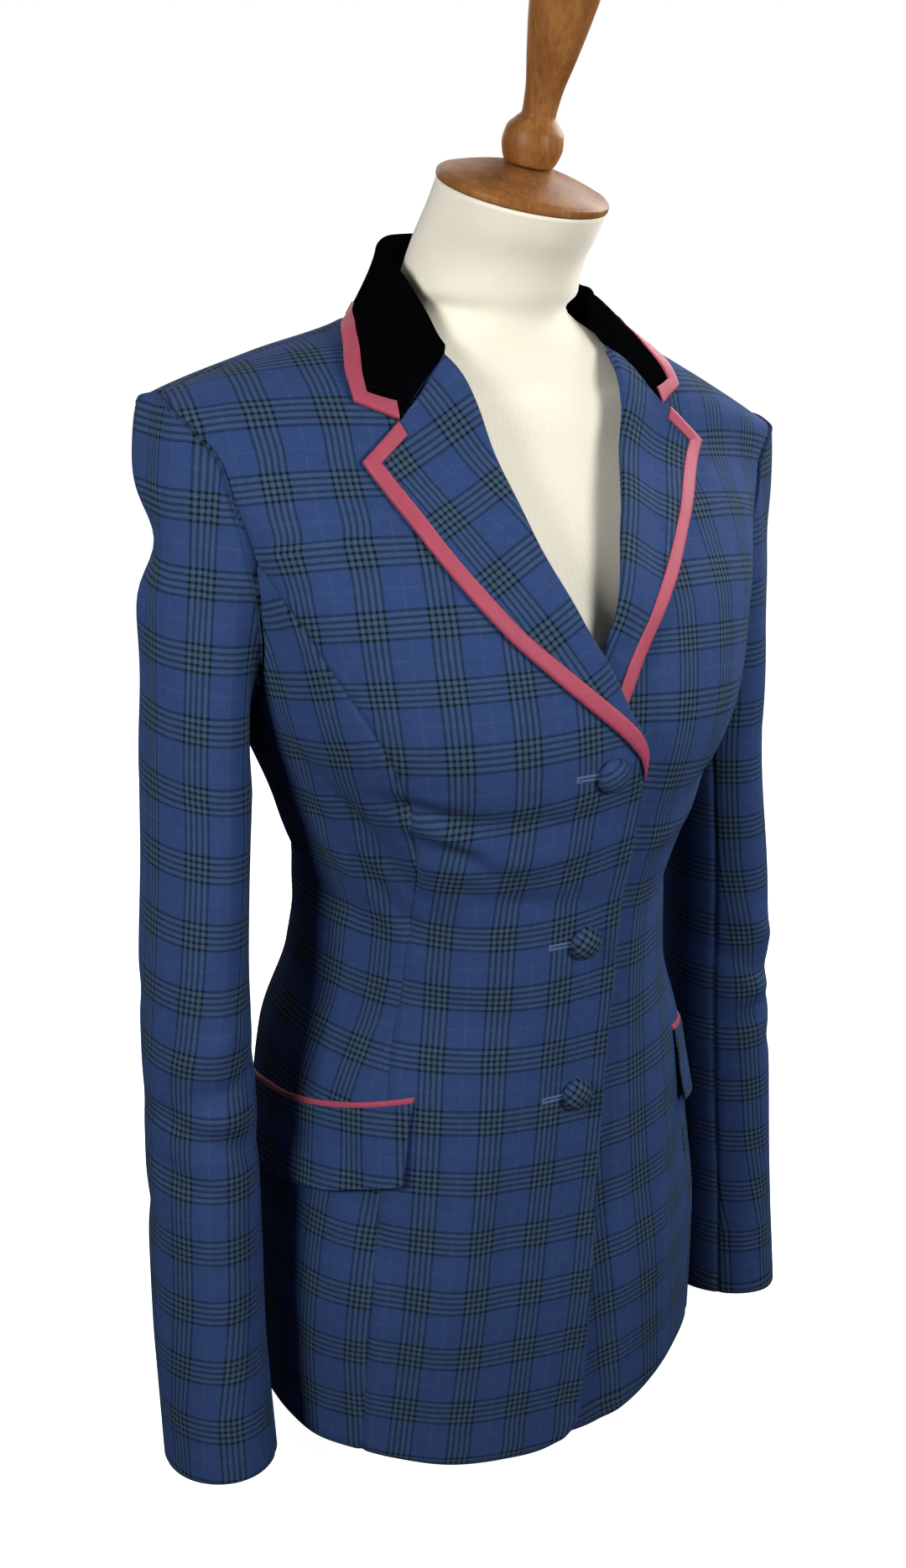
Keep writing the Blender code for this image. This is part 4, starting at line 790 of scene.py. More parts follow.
def hanging_collar(share, across, hand):
    """Own-side collar points: shares from the centre back to the end, and places from seam to edge."""
    share, across = np.broadcast_arrays(np.asarray(share, float), np.asarray(across, float))
    places = np.concatenate([[-COLLAR["share"][1]], COLLAR["share"], [1.0]])
    end = own_lapel(np.array([0.0, NOTCH]), 1.0, hand, np.array([COLLAR_FOLD, 0.0]))

    def line(part, last_point):
        """The fold or the edge from its columns, on to a last point."""
        angle = np.radians(COLLAR[part + "_turn"])
        radius = COLLAR[part + "_radius"]
        points = np.stack([radius * np.sin(angle), COLLAR_CENTRE + radius * np.cos(angle),
                           COLLAR[part + "_height"]], -1)
        return smooth(share, places, np.vstack([points[1] * [-1, 1, 1], points, last_point]))

    fold = line("fold", end[0])
    edge = line("edge", COLLAR_TIP)
    deeper = np.append(STAND_DEEPER, 0.0)
    stand = smooth(share, places[1:], np.append(COLLAR["stand"], LEAST_STAND[hand]) + deeper)
    draw = COLLAR_DRAW * step_up(share, *DRAW_SHARES[:2]) * (1 - step_up(share, *DRAW_SHARES[2:]))
    edge = edge + unit((fold - edge) * np.array([1, 1, 0])) * draw[..., None]
    if hand == LEFT:
        stand = stand - smooth(share, places[1:], deeper) * step_up(share, *STAND_SHORTER)
        sink = COLLAR_SINK * step_up(share, *SINK_SHARES) * (1 - step_up(share, *RISE_SHARES))
        fold[..., 2] -= sink
        inward = unit((fold - edge) * np.array([1, 1, 0]))
        edge = edge + inward * (NARROWER * step_up(share, *NARROW_SHARES))[..., None]
    end_weight = step_up(share, *LAID_SHARES)[..., None]
    radial = unit((edge - fold) * np.array([1, 1, 0]))
    outward = unit(radial * (1 - end_weight) + unit(end[1] - end[0]) * end_weight)
    end_normal = unit(own_lapel(0.3, 1.0, hand, PROBE) - own_lapel(0.3, 1.0, hand))
    upward = unit(np.array([0, 0, 1.0]) * (1 - end_weight) + end_normal * end_weight)
    hub = fold - upward * COLLAR_FOLD
    crown = (fold + edge) / 2 + (outward * COLLAR_CROWN[0] + upward * COLLAR_CROWN[1]) * (1 - end_weight)
    notch_weight = step_up(share, *NOTCH_SHARES)[..., None]
    crown = crown + (end[1] - (end[0] + COLLAR_TIP) / 2) * notch_weight
    v = across[..., None]
    standing = hub - outward * COLLAR_FOLD - np.array([0, 0, 1.0]) * stand[..., None] * (1 - v / STAND_TOP)
    swing = math.pi * (FALL_TOP - v) / (FALL_TOP - STAND_TOP)
    turned = hub + (outward * np.cos(swing) + upward * np.sin(swing)) * COLLAR_FOLD
    upper = (v - FALL_TOP) / (COLLAR_NOTCH - FALL_TOP) / 2
    lower = 0.5 + (v - COLLAR_NOTCH) / (1 - COLLAR_NOTCH) / 2
    k = np.where(v < COLLAR_NOTCH, upper, lower)
    top = hub + outward * COLLAR_FOLD
    bowed = top * (1 - k) * (1 - 2 * k) + crown * 4 * k * (1 - k) + edge * k * (2 * k - 1)
    straight = np.where(k < 0.5, top * (1 - 2 * k) + crown * 2 * k,
                        crown * (2 - 2 * k) + edge * (2 * k - 1))
    falling = bowed + (straight - bowed) * notch_weight
    return np.where(v < STAND_TOP, standing, np.where(v <= FALL_TOP, turned, falling))


def collar(share, across, hand, lift=0.0):
    """Collar points, moved out along the collar's own normal."""
    small = 1e-3
    along = own_collar(share + small, across, hand) - own_collar(share - small, across, hand)
    out = own_collar(share, across + small, hand) - own_collar(share, across - small, hand)
    return sided(own_collar(share, across, hand) + unit(np.cross(along, out)) * lift, hand)


def collar_panel(lift=0.0):
    """The whole collar, from its right end to its left one."""
    rows = 2 * len(COLLAR_SHARES) - 1
    lift = np.broadcast_to(lift, (rows, len(COLLAR_ACROSS)))[..., None]
    middle = len(COLLAR_SHARES) - 1
    share, across = COLLAR_SHARES[:, None], COLLAR_ACROSS[None]
    right = collar(share, across, RIGHT, lift[middle::-1])
    return np.concatenate([right[:0:-1], collar(share, across, LEFT, lift[middle:])])


def collar_binding():
    """Ribbon round the collar's outer edge and across its ends to the notches."""
    def half(hand):
        """Rings of one side, from the centre back."""
        reach = COLLAR_SHARES
        back, up = COLLAR_NEAR
        tall = np.linalg.norm(collar(reach, 1.0, hand) - collar(reach, 1 - up, hand), axis=-1) / up
        drop = BINDING_WIDTH / tall
        wide = np.linalg.norm(collar(COLLAR_END, 0.8, hand) - collar(COLLAR_END - back, 0.8, hand)) / back
        draw = BINDING_WIDTH / wide
        end_across = np.linspace(1, COLLAR_NOTCH, RIBBON_STEPS)[1:]
        outer = np.stack([np.append(reach, 0 * end_across + COLLAR_END),
                          np.append(0 * reach + 1, end_across)], -1)
        inset = COLLAR_END - draw
        inner = np.stack([np.append(np.minimum(reach, inset), 0 * end_across + inset),
                          np.append(1 - drop, np.minimum(end_across, 1 - drop[-1]))], -1)
        return bound_rings(lambda at, lift: collar(at[:, 0], at[:, 1], hand, lift[:, None]), outer, inner)

    return np.concatenate([half(RIGHT)[:0:-1], half(LEFT)])


# Pockets: a slanting welt with a flap under it, on each side
POCKET_FRONT_X = 0.094
POCKET_FRONT_HEIGHT = 0.280
POCKET_SLANT = 0.27  # drop towards the back, per length
POCKET_LENGTH = 0.135
POCKET_REACH = 0.118  # mean distance of the pocket from the body's middle
WELT_HEIGHT = 0.0045
WELT_WALL = 0.0012
WELT_RISE = (0.3, 0.9)  # rise of its edges and what its crest adds, as shares of its wall
WELT_END = 0.008  # share of its length over which its ends round off
FLAP_START = 0.7  # share of the welt that covers the flap's top
FLAP_HEIGHT = 0.055
FLAP_WALL = 0.0018
FLAP_STAND_OFF = 0.0035  # at the flap's lower edge
FLAP_FLARE = 1.5  # how fast it comes to stand off towards there
FLAP_CORNER = 0.0025  # radius of the flap's lower corners
WELT_GRID = (60, 11)  # columns and rows
FLAP_GRID = (64, 30)


def pocket_points(along, drop, lift, hand):
    """Points by the share of the pocket's length, from its front end, and the drop below its top line."""
    height = POCKET_FRONT_HEIGHT - POCKET_SLANT * POCKET_LENGTH * along - drop
    front_turn = turn_at_x(POCKET_FRONT_X, POCKET_FRONT_HEIGHT, -1)
    turn = front_turn + POCKET_LENGTH / POCKET_REACH * along
    return sided(draped(turn, height, hand, lift), hand)


def pocket_welt(hand, lift=0.0):
    """Rounded welt over the pocket's mouth."""
    along, share = np.meshgrid(spaced(WELT_GRID[0]), np.linspace(1, 0, WELT_GRID[1]))
    crest = np.sqrt(np.clip(1 - (2 * share - 1) ** 4, 0, 1))
    ends = np.clip(np.minimum(along, 1 - along) / WELT_END, 0, 1) ** 0.5
    rise = WELT_WALL * (WELT_RISE[0] + WELT_RISE[1] * crest * ends)
    return pocket_points(along, share * WELT_HEIGHT, rise + lift, hand)


def pocket_flap(hand, lift=0.0):
    """Flap from under the welt to its free lower edge."""
    along, share = np.meshgrid(spaced(FLAP_GRID[0]), spaced(FLAP_GRID[1])[::-1])
    from_end = np.minimum(along, 1 - along) * POCKET_LENGTH
    curve = np.clip(1 - from_end / FLAP_CORNER, 0, 1)
    lost = FLAP_CORNER * (1 - np.sqrt(1 - curve ** 2))
    start = WELT_HEIGHT * FLAP_START
    drop = start + share * (FLAP_HEIGHT - start - lost)
    rise = FLAP_WALL + 2 * SEAM_GAP + FLAP_STAND_OFF * share ** FLAP_FLARE
    return pocket_points(along, drop, rise + lift, hand)


# Dress form: rings inside the coat, then the neck
FORM_INSET = table("height inset", [
    (0.000, 0.046), (0.060, 0.040), (0.150, 0.024), (0.270, 0.012), (0.400, 0.008), (0.560, 0.008),
    (0.640, 0.0070), (0.690, 0.0050), (0.702, 0.0026), (0.740, 0.0026)])
NECK = table("height middle centre half_width half_depth tilt side", [
    (0.713, 0.000, -0.011, 0.0590, 0.0450, 0.0, 0.0), (0.733, 0.001, -0.018, 0.0530, 0.0465, 6.0, 1.0),
    (0.752, 0.001, -0.028, 0.0495, 0.0465, 11.0, 2.0), (0.768, 0.001, -0.042, 0.0478, 0.0470, 15.0, 3.0),
    (0.781, 0.001, -0.052, 0.0470, 0.0470, 17.0, 3.5)])
FORM_FRONT_ROOM = 0.0030  # extra room at the middle of the front and back
ARM_PLATE = 0.160  # distance of the form's flat arm plates from its middle
CAP_THICKNESS = 0.0045
CAP_EDGE = 0.0015  # rounding of the cap's rim
CAP_DOME = 0.0110  # rise of the cap's middle above its rim
CAP_RADIUS = 0.0478
FORM_SIDES = 144
RING_STEPS = 6
TORSO_HEIGHTS = (0, 0.04, 0.09, 0.15, 0.21, 0.27, 0.32, 0.36, 0.40, 0.44, 0.48, 0.52, 0.56, 0.60, 0.63,
                 0.65, 0.664, 0.675, 0.688)


def neck_place(k):
    """Place of one row of the neck: its centre, tilted ahead and leaning to the left."""
    at = Matrix.Translation((NECK["middle"][k], NECK["centre"][k], NECK["height"][k]))
    lean = Matrix.Rotation(math.radians(NECK["side"][k]), 4, "Y")
    return at @ lean @ Matrix.Rotation(math.radians(NECK["tilt"][k]), 4, "X")


def form_rings():
    """Rings of the form from its base to the top of its neck."""
    angle = np.linspace(-math.pi, math.pi, FORM_SIDES, endpoint=False)
    room = FORM_FRONT_ROOM * np.cos(angle) ** 2
    rings = [body(angle, h, -room - read(FORM_INSET, "height", h, "inset")) for h in TORSO_HEIGHTS]
    rings[0][:, 2] = 0
    for k in range(len(NECK["height"])):
        flat = np.stack([NECK["half_width"][k] * np.sin(angle), -NECK["half_depth"][k] * np.cos(angle),
                         0 * angle, 1 + 0 * angle])
        rings.append((np.array(neck_place(k)) @ flat)[:3].T)
    rings = sunk(np.array(rings))
    last = len(rings) - 1
    fine = flowing(np.linspace(0, last, last * RING_STEPS + 1), np.arange(last + 1), rings)
    fine[..., 0] = np.clip(fine[..., 0], -ARM_PLATE, ARM_PLATE)
    return fine


# Turned finial: radius at heights above the cap
FINIAL = table("height radius", [
    (0.000, 0.0135), (0.003, 0.0150), (0.010, 0.0166), (0.017, 0.0155), (0.022, 0.0115), (0.025, 0.0092),
    (0.035, 0.0098), (0.055, 0.0135), (0.075, 0.0170), (0.090, 0.0188), (0.100, 0.0180), (0.107, 0.0130),
    (0.110, 0.0060)])


def lengths(points, axis):
    """Distances run along an axis of a grid of points, from its start."""
    first = np.take(points, [0], axis)
    return np.cumsum(np.linalg.norm(np.diff(points, axis=axis, prepend=first), axis=-1), axis)


def quads(index):
    """Corners of the faces between the neighbours in a grid of point numbers."""
    return np.stack([index[:-1, :-1], index[:-1, 1:], index[1:, 1:], index[1:, :-1]], -1).reshape(-1, 4)


def rim_of(grid):
    """A grid's outermost points, once round."""
    return np.concatenate([grid[0], grid[1:, -1], grid[-1, -2::-1], grid[-2:0:-1, 0]])


def ring_faces(count, sides):
    """Point numbers of closed rings, and the faces between each ring and the next."""
    index = np.arange(count * sides).reshape(count, sides)
    after = np.roll(index, -1, 1)
    return index, np.stack([index[:-1], index[1:], after[1:], after[:-1]], -1).reshape(-1, 4).tolist()


def flattened(grid, rows=40, columns=20, rounds=40):
    """Flat places of a shaped panel's points, each bit of cloth kept as near its own size as it can be."""
    pick_row = np.unique(np.linspace(0, grid.shape[0] - 1, rows).round().astype(int))
    pick_column = np.unique(np.linspace(0, grid.shape[1] - 1, columns).round().astype(int))
    points = grid[np.ix_(pick_row, pick_column)]
    high, wide = points.shape[:2]
    index = np.arange(high * wide).reshape(high, wide)
    corners = np.concatenate([quads(index)[:, half] for half in ((0, 1, 2), (0, 2, 3))])
    place = points.reshape(-1, 3)[corners]
    first, second = place[:, 1] - place[:, 0], place[:, 2] - place[:, 0]
    length = np.linalg.norm(first, axis=1)
    along = (first * second).sum(1) / length
    aside = np.linalg.norm(np.cross(first, second), axis=1) / length
    local = np.stack([0 * length + 0j, length + 0j, along + 1j * aside], 1)
    matrix = np.zeros((high * wide, high * wide))
    links = []
    for k in range(3):
        one, two = (k + 1) % 3, (k + 2) % 3
        near, far = local[:, one] - local[:, k], local[:, two] - local[:, k]
        turn = near.conj() * far
        weight = np.maximum(turn.real / np.maximum(turn.imag, 1e-12), 0.05)
        i, j = corners[:, one], corners[:, two]
        links.append((i, j, weight, local[:, one] - local[:, two]))
        for p, q, sign in ((i, i, 1), (j, j, 1), (i, j, -1), (j, i, -1)):
            np.add.at(matrix, (p, q), sign * weight)
    solve = np.linalg.inv(matrix[1:, 1:])
    across, up = lengths(points, 1), lengths(points, 0)
    middle = wide // 2
    flat = (across - across[:, middle:middle + 1] + 1j * up[:, middle:middle + 1]).ravel()
    for _ in range(rounds):
        swing = sum(w * (flat[i] - flat[j]) * e.conj() for i, j, w, e in links)
        swing = swing / np.maximum(np.abs(swing), 1e-12)
        want = np.zeros(high * wide, complex)
        for i, j, w, e in links:
            np.add.at(want, i, w * swing * e)
            np.add.at(want, j, -w * swing * e)
        flat[1:] = flat[0] + solve @ want[1:]
    flat = flat.reshape(high, wide)
    flat = np.stack([flat.real, flat.imag], -1)
    flat = flowing(np.arange(grid.shape[0]), pick_row, flat)
    return flowing(np.arange(grid.shape[1]), pick_column, flat.swapaxes(0, 1)).swapaxes(0, 1)


def turned_flat(flat, angle, pivot, to):
    """A flat pattern turned by an angle about one of its points, which goes to a new place."""
    z = (flat[..., 0] + 1j * flat[..., 1] - (pivot[0] + 1j * pivot[1])) * np.exp(1j * angle)
    return np.stack([z.real + to[0], z.imag + to[1]], -1)


def normals(grid, flip):
    """Unit normals of a grid, facing out."""
    down, over = np.gradient(grid, axis=(0, 1))
    out = unit(np.cross(over, down))
    return -out if flip else out


def seam_dip(grid, seams):
    """How far each point of a grid sinks where its named edges are sewn."""
    sink = np.zeros(grid.shape[:2])
    for edge in seams:
        view, dip = edge_view(grid, edge), edge_view(sink, edge)
        dip[...] = np.maximum(dip, SEAM_DIP * np.exp(-(lengths(view, 1) / SEAM_REACH) ** 2))
    return sink


def lifting(grid, flip):
    """A function that gives a grid's points moved out along its own normals."""
    out = normals(grid, flip)
    return lambda lift: grid + out * np.broadcast_to(lift, grid.shape[:2])[..., None]


def add_mesh(name, points, faces, uv, material, around=None):
    """A smooth mesh object with a pattern map in metres, which may go round with a given length."""
    mesh = bpy.data.meshes.new(name)
    mesh.from_pydata(points.tolist(), [], faces)
    if uv is not None:
        layer = mesh.uv_layers.new(name="Cut")
        corner = np.empty(len(mesh.loops), int)
        mesh.loops.foreach_get("vertex_index", corner)
        spots = uv[corner].astype(np.float32)
        if around:
            for face in mesh.polygons:
                u = spots[face.loop_start:face.loop_start + face.loop_total, 0]
                u += around * (u < u.max() - around / 2)
        layer.data.foreach_set("uv", spots.ravel())
    mesh.materials.append(material)
    mesh.shade_smooth()
    mesh.validate()
    return new_object(name, mesh)


EDGE_ROUND = 0.30  # rounding of a free edge, as a share of the wall


def add_shell(name, make, wall, flip, material, uv=None, seams=(), free=()):
    """Cloth: a closed shell, its outer face given by make(lift). Sewn edges sink, free ones are rounded."""
    grid = make(0.0)
    rows, columns = grid.shape[:2]
    if uv is None:
        uv = np.zeros((rows, columns, 2))
    soft = np.zeros((rows, columns))
    bulge = np.zeros_like(grid)
    for edge in free:
        edge_view(soft, edge)[:, 0] = EDGE_ROUND * wall
        view, swell = edge_view(grid, edge), edge_view(bulge, edge)
        swell[:, 0] += unit(view[:, 0] - view[:, 1])
    dip = seam_dip(grid, seams)
    outer, inner = make(-dip - soft), make(soft - dip - wall)
    index = np.arange(rows * columns).reshape(rows, columns)
    loop = rim_of(index)
    middle = ((outer + inner) / 2 + unit(bulge) * EDGE_ROUND * wall).reshape(-1, 3)[loop]
    points = np.concatenate([outer.reshape(-1, 3), inner.reshape(-1, 3), middle])
    maps = np.concatenate([uv.reshape(-1, 2), uv.reshape(-1, 2), uv.reshape(-1, 2)[loop]])
    count = rows * columns
    face = quads(index)
    back = face[:, ::-1] + count
    rim = 2 * count + np.arange(len(loop))
    after, rim_after = np.roll(loop, -1), np.roll(rim, -1)
    edge_faces = np.concatenate([np.stack([after, loop, rim, rim_after], 1),
                                 np.stack([rim_after, rim, loop + count, after + count], 1)])
    faces = np.concatenate([face, back, edge_faces])
    if flip:
        faces = faces[:, ::-1]
    return add_mesh(name, points, faces.tolist(), maps, material)


def add_strip(name, rings, material, flip):
    """A solid strip through closed rings, with closed ends."""
    index, faces = ring_faces(*rings.shape[:2])
    faces += [index[0].tolist(), index[-1, ::-1].tolist()]
    if flip:
        faces = [f[::-1] for f in faces]
    uv = np.stack(np.broadcast_arrays(lengths(rings.mean(1), 0)[:, None], lengths(rings, 1)), -1)
    return add_mesh(name, rings.reshape(-1, 3), faces, uv.reshape(-1, 2), material)


TURNED_RADIUS = 0.02  # radius at which the map of turned wood is in metres


def add_turned(name, profile, steps, matrix, material, uv_turn=None, uv_place=(0, 0)):
    """A turned solid: its profile runs from the top of the axis down its outer side to the axis again."""
    profile = np.array(profile, float)
    angle = np.linspace(0, 2 * math.pi, steps, endpoint=False)
    ring = profile[1:-1]
    points = np.stack([ring[:, None, 0] * np.cos(angle), ring[:, None, 0] * np.sin(angle),
                       ring[:, None, 1] + 0 * angle], -1).reshape(-1, 3)
    points = np.concatenate([points, [[0, 0, profile[0, 1]], [0, 0, profile[-1, 1]]]])
    index, faces = ring_faces(len(ring), steps)
    top, bottom = index.size, index.size + 1
    faces += [[top, int(i), int(j)] for i, j in zip(index[0], np.roll(index[0], -1))]
    faces += [[bottom, int(j), int(i)] for i, j in zip(index[-1], np.roll(index[-1], -1))]
    if uv_turn is None:
        around = np.append(np.tile(angle, len(ring)), [0, 0])
        uv = np.stack([around * TURNED_RADIUS, points[:, 2]], -1)
    else:
        z = (points[:, 0] + 1j * points[:, 1]) * np.exp(1j * uv_turn)
        uv = np.stack([z.real, z.imag], -1) + np.array(uv_place) * REPEAT
    spots = np.array(matrix) @ np.vstack([points.T, np.ones(len(points))])
    return add_mesh(name, spots[:3].T, faces, uv, material)


# Check: threads of one repeat, as shares of it, the same both ways
REPEAT = (0.0368, 0.0400)
DARK_LINE = 0.040
GREY_LINE = 0.055
DARK_LINES = 5
LINE_BLUR = 0.005
OVERCHECK = 0.012  # half width of the faint line in the middle of the squares
TWILL = 0.0009  # pitch of the twill's diagonals


def linear(*rgb):
    """A colour of 0 to 255 as the shader's own linear values."""
    values = [v / 255 for v in rgb]
    return tuple(v / 12.92 if v <= 0.04045 else ((v + 0.055) / 1.055) ** 2.4 for v in values) + (1.0,)


GROUND = linear(46, 68, 112)
DARK = linear(9, 14, 24)
GREY = linear(60, 82, 105)
LILAC = linear(60, 72, 116)
PINK = linear(168, 66, 88)
THREAD = linear(92, 110, 152)
JERSEY = linear(241, 235, 216)
BLACK_VELVET = linear(5, 5, 7)


def add(tree, kind, inputs=None, **settings):
    """A shader node with its settings, linked or given values."""
    made = tree.nodes.new("ShaderNode" + kind)
    for key, value in settings.items():
        setattr(made, key, value)
    for key, value in (inputs or {}).items():
        if isinstance(value, bpy.types.NodeSocket):
            tree.links.new(value, made.inputs[key])
        else:
            made.inputs[key].default_value = value
    return made


def sum_of(tree, operation, one, two=0.0, three=0.0):
    """The result of one sum on values that vary."""
    return add(tree, "Math", {0: one, 1: two, 2: three}, operation=operation).outputs[0]


def scaled(tree, value, by, plus):
    """A value times one number and plus another."""
    return sum_of(tree, "MULTIPLY_ADD", value, by, plus)


def wave(tree, value, pitch):
    """Ribs with a given pitch along a value in metres."""
    return sum_of(tree, "SINE", sum_of(tree, "MULTIPLY", value, 2 * math.pi / pitch))


def noise(tree, place, scale, detail=2.0, roughness=0.5):
    """Uneven shares, about so many of them to the metre."""
    inputs = {"Vector": place, "Scale": scale, "Detail": detail, "Roughness": roughness}
    return add(tree, "TexNoise", inputs).outputs["Fac"]


def mixed(tree, share, one, two, blend="MIX"):
    """A mix of two colours."""
    return add(tree, "Mix", {0: share, 6: one, 7: two}, data_type="RGBA", blend_type=blend).outputs[2]


def ramp_of(tree, share, stops):
    """Colours along a share, from stops with a place and a colour each."""
    made = add(tree, "ValToRGB", {"Fac": share})
    elements = made.color_ramp.elements
    elements[0].position, elements[0].color = stops[0]
    elements[1].position, elements[1].color = stops[-1]
    for position, colour in stops[1:-1]:
        elements.new(position).color = colour
    return made.outputs["Color"]


def paint(tree, shader, colour, shade):
    """The shader's colour, made lighter and darker by a shade that varies."""
    tint = add(tree, "CombineXYZ", {0: shade, 1: shade, 2: shade}).outputs[0]
    tree.links.new(mixed(tree, 1.0, colour, tint, "MULTIPLY"), shader.inputs["Base Color"])


def emboss(tree, shader, height, strength, distance):
    """Fine relief of the surface."""
    bump = add(tree, "Bump", {"Height": height, "Strength": strength, "Distance": distance})
    tree.links.new(bump.outputs[0], shader.inputs["Normal"])


SHEEN_ROUGHNESS = 0.45


def new_material(name, roughness, sheen=0.0, sheen_tint=(1, 1, 1, 1), specular=0.5, others=()):
    """A material with the plain values of its shader."""
    made = bpy.data.materials.new(name)
    made.use_nodes = True
    shader = made.node_tree.nodes["Principled BSDF"]
    values = (("Roughness", roughness), ("Sheen Weight", sheen), ("Sheen Roughness", SHEEN_ROUGHNESS),
              ("Sheen Tint", sheen_tint), ("Specular IOR Level", specular))
    for key, value in values + tuple(others):
        shader.inputs[key].default_value = value
    return made, made.node_tree, shader


def thread_ramp(tree, along, repeat):
    """Colours of one system of threads over its repeat."""
    stops = [(OVERCHECK, LILAC), (OVERCHECK + 2 * LINE_BLUR, GROUND)]
    at = 0.5 - (DARK_LINES * DARK_LINE + (DARK_LINES - 1) * GREY_LINE) / 2
    stops.append((at - LINE_BLUR, GROUND))
    for k in range(2 * DARK_LINES - 1):
        width, colour = (DARK_LINE, DARK) if k % 2 == 0 else (GREY_LINE, GREY)
        stops += [(at + LINE_BLUR, colour), (at + width - LINE_BLUR, colour)]
        at += width
    stops.append((at + LINE_BLUR, GROUND))
    stops += [(1 - OVERCHECK - 2 * LINE_BLUR, GROUND), (1 - OVERCHECK, LILAC)]
    return ramp_of(tree, sum_of(tree, "FRACT", sum_of(tree, "DIVIDE", along, repeat)), stops)


def cut_map(tree):
    """The two coordinates of a piece's cut, in metres."""
    place = add(tree, "UVMap", uv_map="Cut").outputs[0]
    split = add(tree, "SeparateXYZ", {0: place})
    return place, split.outputs[0], split.outputs[1]


def checked_wool():
    """Wool twill: two systems of coloured threads, woven, with a heathered nap."""
    made, tree, shader = new_material("checked_wool", 0.90, sheen=0.02, sheen_tint=(0.75, 0.80, 1.0, 1),
                                      specular=0.10)
    place, u, v = cut_map(tree)
    warp, weft = thread_ramp(tree, u, REPEAT[0]), thread_ramp(tree, v, REPEAT[1])
    diagonal = wave(tree, sum_of(tree, "ADD", u, v), TWILL)
    cloth = mixed(tree, scaled(tree, diagonal, by=0.22, plus=0.5), warp, weft)
    fine = noise(tree, place, 1200.0, detail=3.0, roughness=0.7)
    nap = scaled(tree, fine, by=1.10, plus=0.32)
    broad = scaled(tree, noise(tree, place, 130.0), by=0.30, plus=0.98)
    paint(tree, shader, cloth, sum_of(tree, "MULTIPLY", nap, broad))
    emboss(tree, shader, scaled(tree, diagonal, by=0.4, plus=fine), strength=0.35, distance=0.00020)
    return made


def velvet():
    """Short black pile, brushed lighter and darker."""
    made, tree, shader = new_material("velvet", 1.0, specular=0.0)
    where = add(tree, "TexCoord").outputs["Object"]
    paint(tree, shader, BLACK_VELVET, scaled(tree, noise(tree, where, 60.0), by=0.8, plus=0.6))
    emboss(tree, shader, noise(tree, where, 2600.0), strength=0.5, distance=0.0003)
    return made


RIB_PITCH = 0.0007  # of the ribbon's ribs
KNIT_PITCH = 0.0008  # of the jersey's


def ribbon():
    """Pink ribbon with fine ribs across it, painted shade darkening their troughs, and a slight sheen."""
    made, tree, shader = new_material("ribbon", 0.55, sheen=0.10, sheen_tint=(1.0, 0.8, 0.85, 1),
                                      specular=0.4)
    place, along, _ = cut_map(tree)
    ribs = wave(tree, along, RIB_PITCH)
    soil = scaled(tree, noise(tree, place, 160.0, detail=4.0), by=0.35, plus=0.82)
    # painted shade: the colour follows the ribs' relief, darker in their troughs and lighter on their crests
    paint(tree, shader, PINK, scaled(tree, ribs, by=0.05, plus=soil))
    emboss(tree, shader, ribs, strength=0.4, distance=0.0001)
    return made


def jersey():
    """Cream jersey with fine upright ribs, painted shade darkening their troughs, and a little soiling."""
    made, tree, shader = new_material("jersey", 0.88, sheen=1.0, sheen_tint=(1.0, 0.97, 0.9, 1), specular=0.2)
    place, around, _ = cut_map(tree)
    ribs = wave(tree, around, KNIT_PITCH)
    soil = scaled(tree, noise(tree, place, 28.0, detail=5.0, roughness=0.6), by=0.10, plus=0.93)
    # painted shade: the colour follows the ribs' relief, slightly darker in their troughs; the soil adds
    # uneven tone
    shade = scaled(tree, ribs, by=0.012, plus=soil)
    paint(tree, shader, JERSEY, scaled(tree, noise(tree, place, 700.0), by=0.06, plus=shade))
    emboss(tree, shader, ribs, strength=0.2, distance=0.0001)
    return made


WOOD_TONES = ((0.25, linear(92, 54, 24)), (0.5, linear(136, 88, 44)), (0.75, linear(168, 118, 64)))
WOOD_STRETCH = (1.0, 1.0, 0.10)  # the grain runs up the height


def wood():
    """Turned wood: grain along the height, worn and varnished."""
    varnish = (("Coat Weight", 0.05), ("Coat Roughness", 0.30))
    made, tree, shader = new_material("wood", 0.45, specular=0.12, others=varnish)
    where = add(tree, "TexCoord").outputs["Object"]
    stretched = add(tree, "Mapping", {"Vector": where, "Scale": WOOD_STRETCH}).outputs[0]
    grain = noise(tree, stretched, 420.0, detail=5.0, roughness=0.6)
    broad = noise(tree, stretched, 70.0, detail=3.0)
    share = scaled(tree, broad, by=0.5, plus=sum_of(tree, "MULTIPLY", grain, 0.5))
    tree.links.new(ramp_of(tree, share, WOOD_TONES), shader.inputs["Base Color"])
    emboss(tree, shader, grain, strength=0.25, distance=0.0003)
    return made


def sewing_thread():
    """Blue thread of the buttonholes."""
    made, tree, shader = new_material("buttonhole_thread", 0.6, sheen=0.1, specular=0.3)
    where = add(tree, "TexCoord").outputs["Object"]
    paint(tree, shader, THREAD, scaled(tree, noise(tree, where, 1800.0), by=0.8, plus=0.6))
    return made


MATERIALS = {"checked_wool": checked_wool(), "velvet": velvet(), "ribbon": ribbon(), "jersey": jersey(),
             "wood": wood(), "thread": sewing_thread()}


def place_piece(piece, node):
    """A finished piece: it rides with the part, and stands for a node where one is named."""
    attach(piece, "root")
    if node:
        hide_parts(node)
    return piece


def flat_size(uv):
    """Width, length and area of a flat pattern."""
    rim = rim_of(uv)
    after = np.roll(rim, -1, 0)
    area = abs((rim[:, 0] * after[:, 1] - rim[:, 1] * after[:, 0]).sum()) / 2
    size = np.ptp(uv.reshape(-1, 2), axis=0)
    return float(size[0]), float(size[1]), float(area)


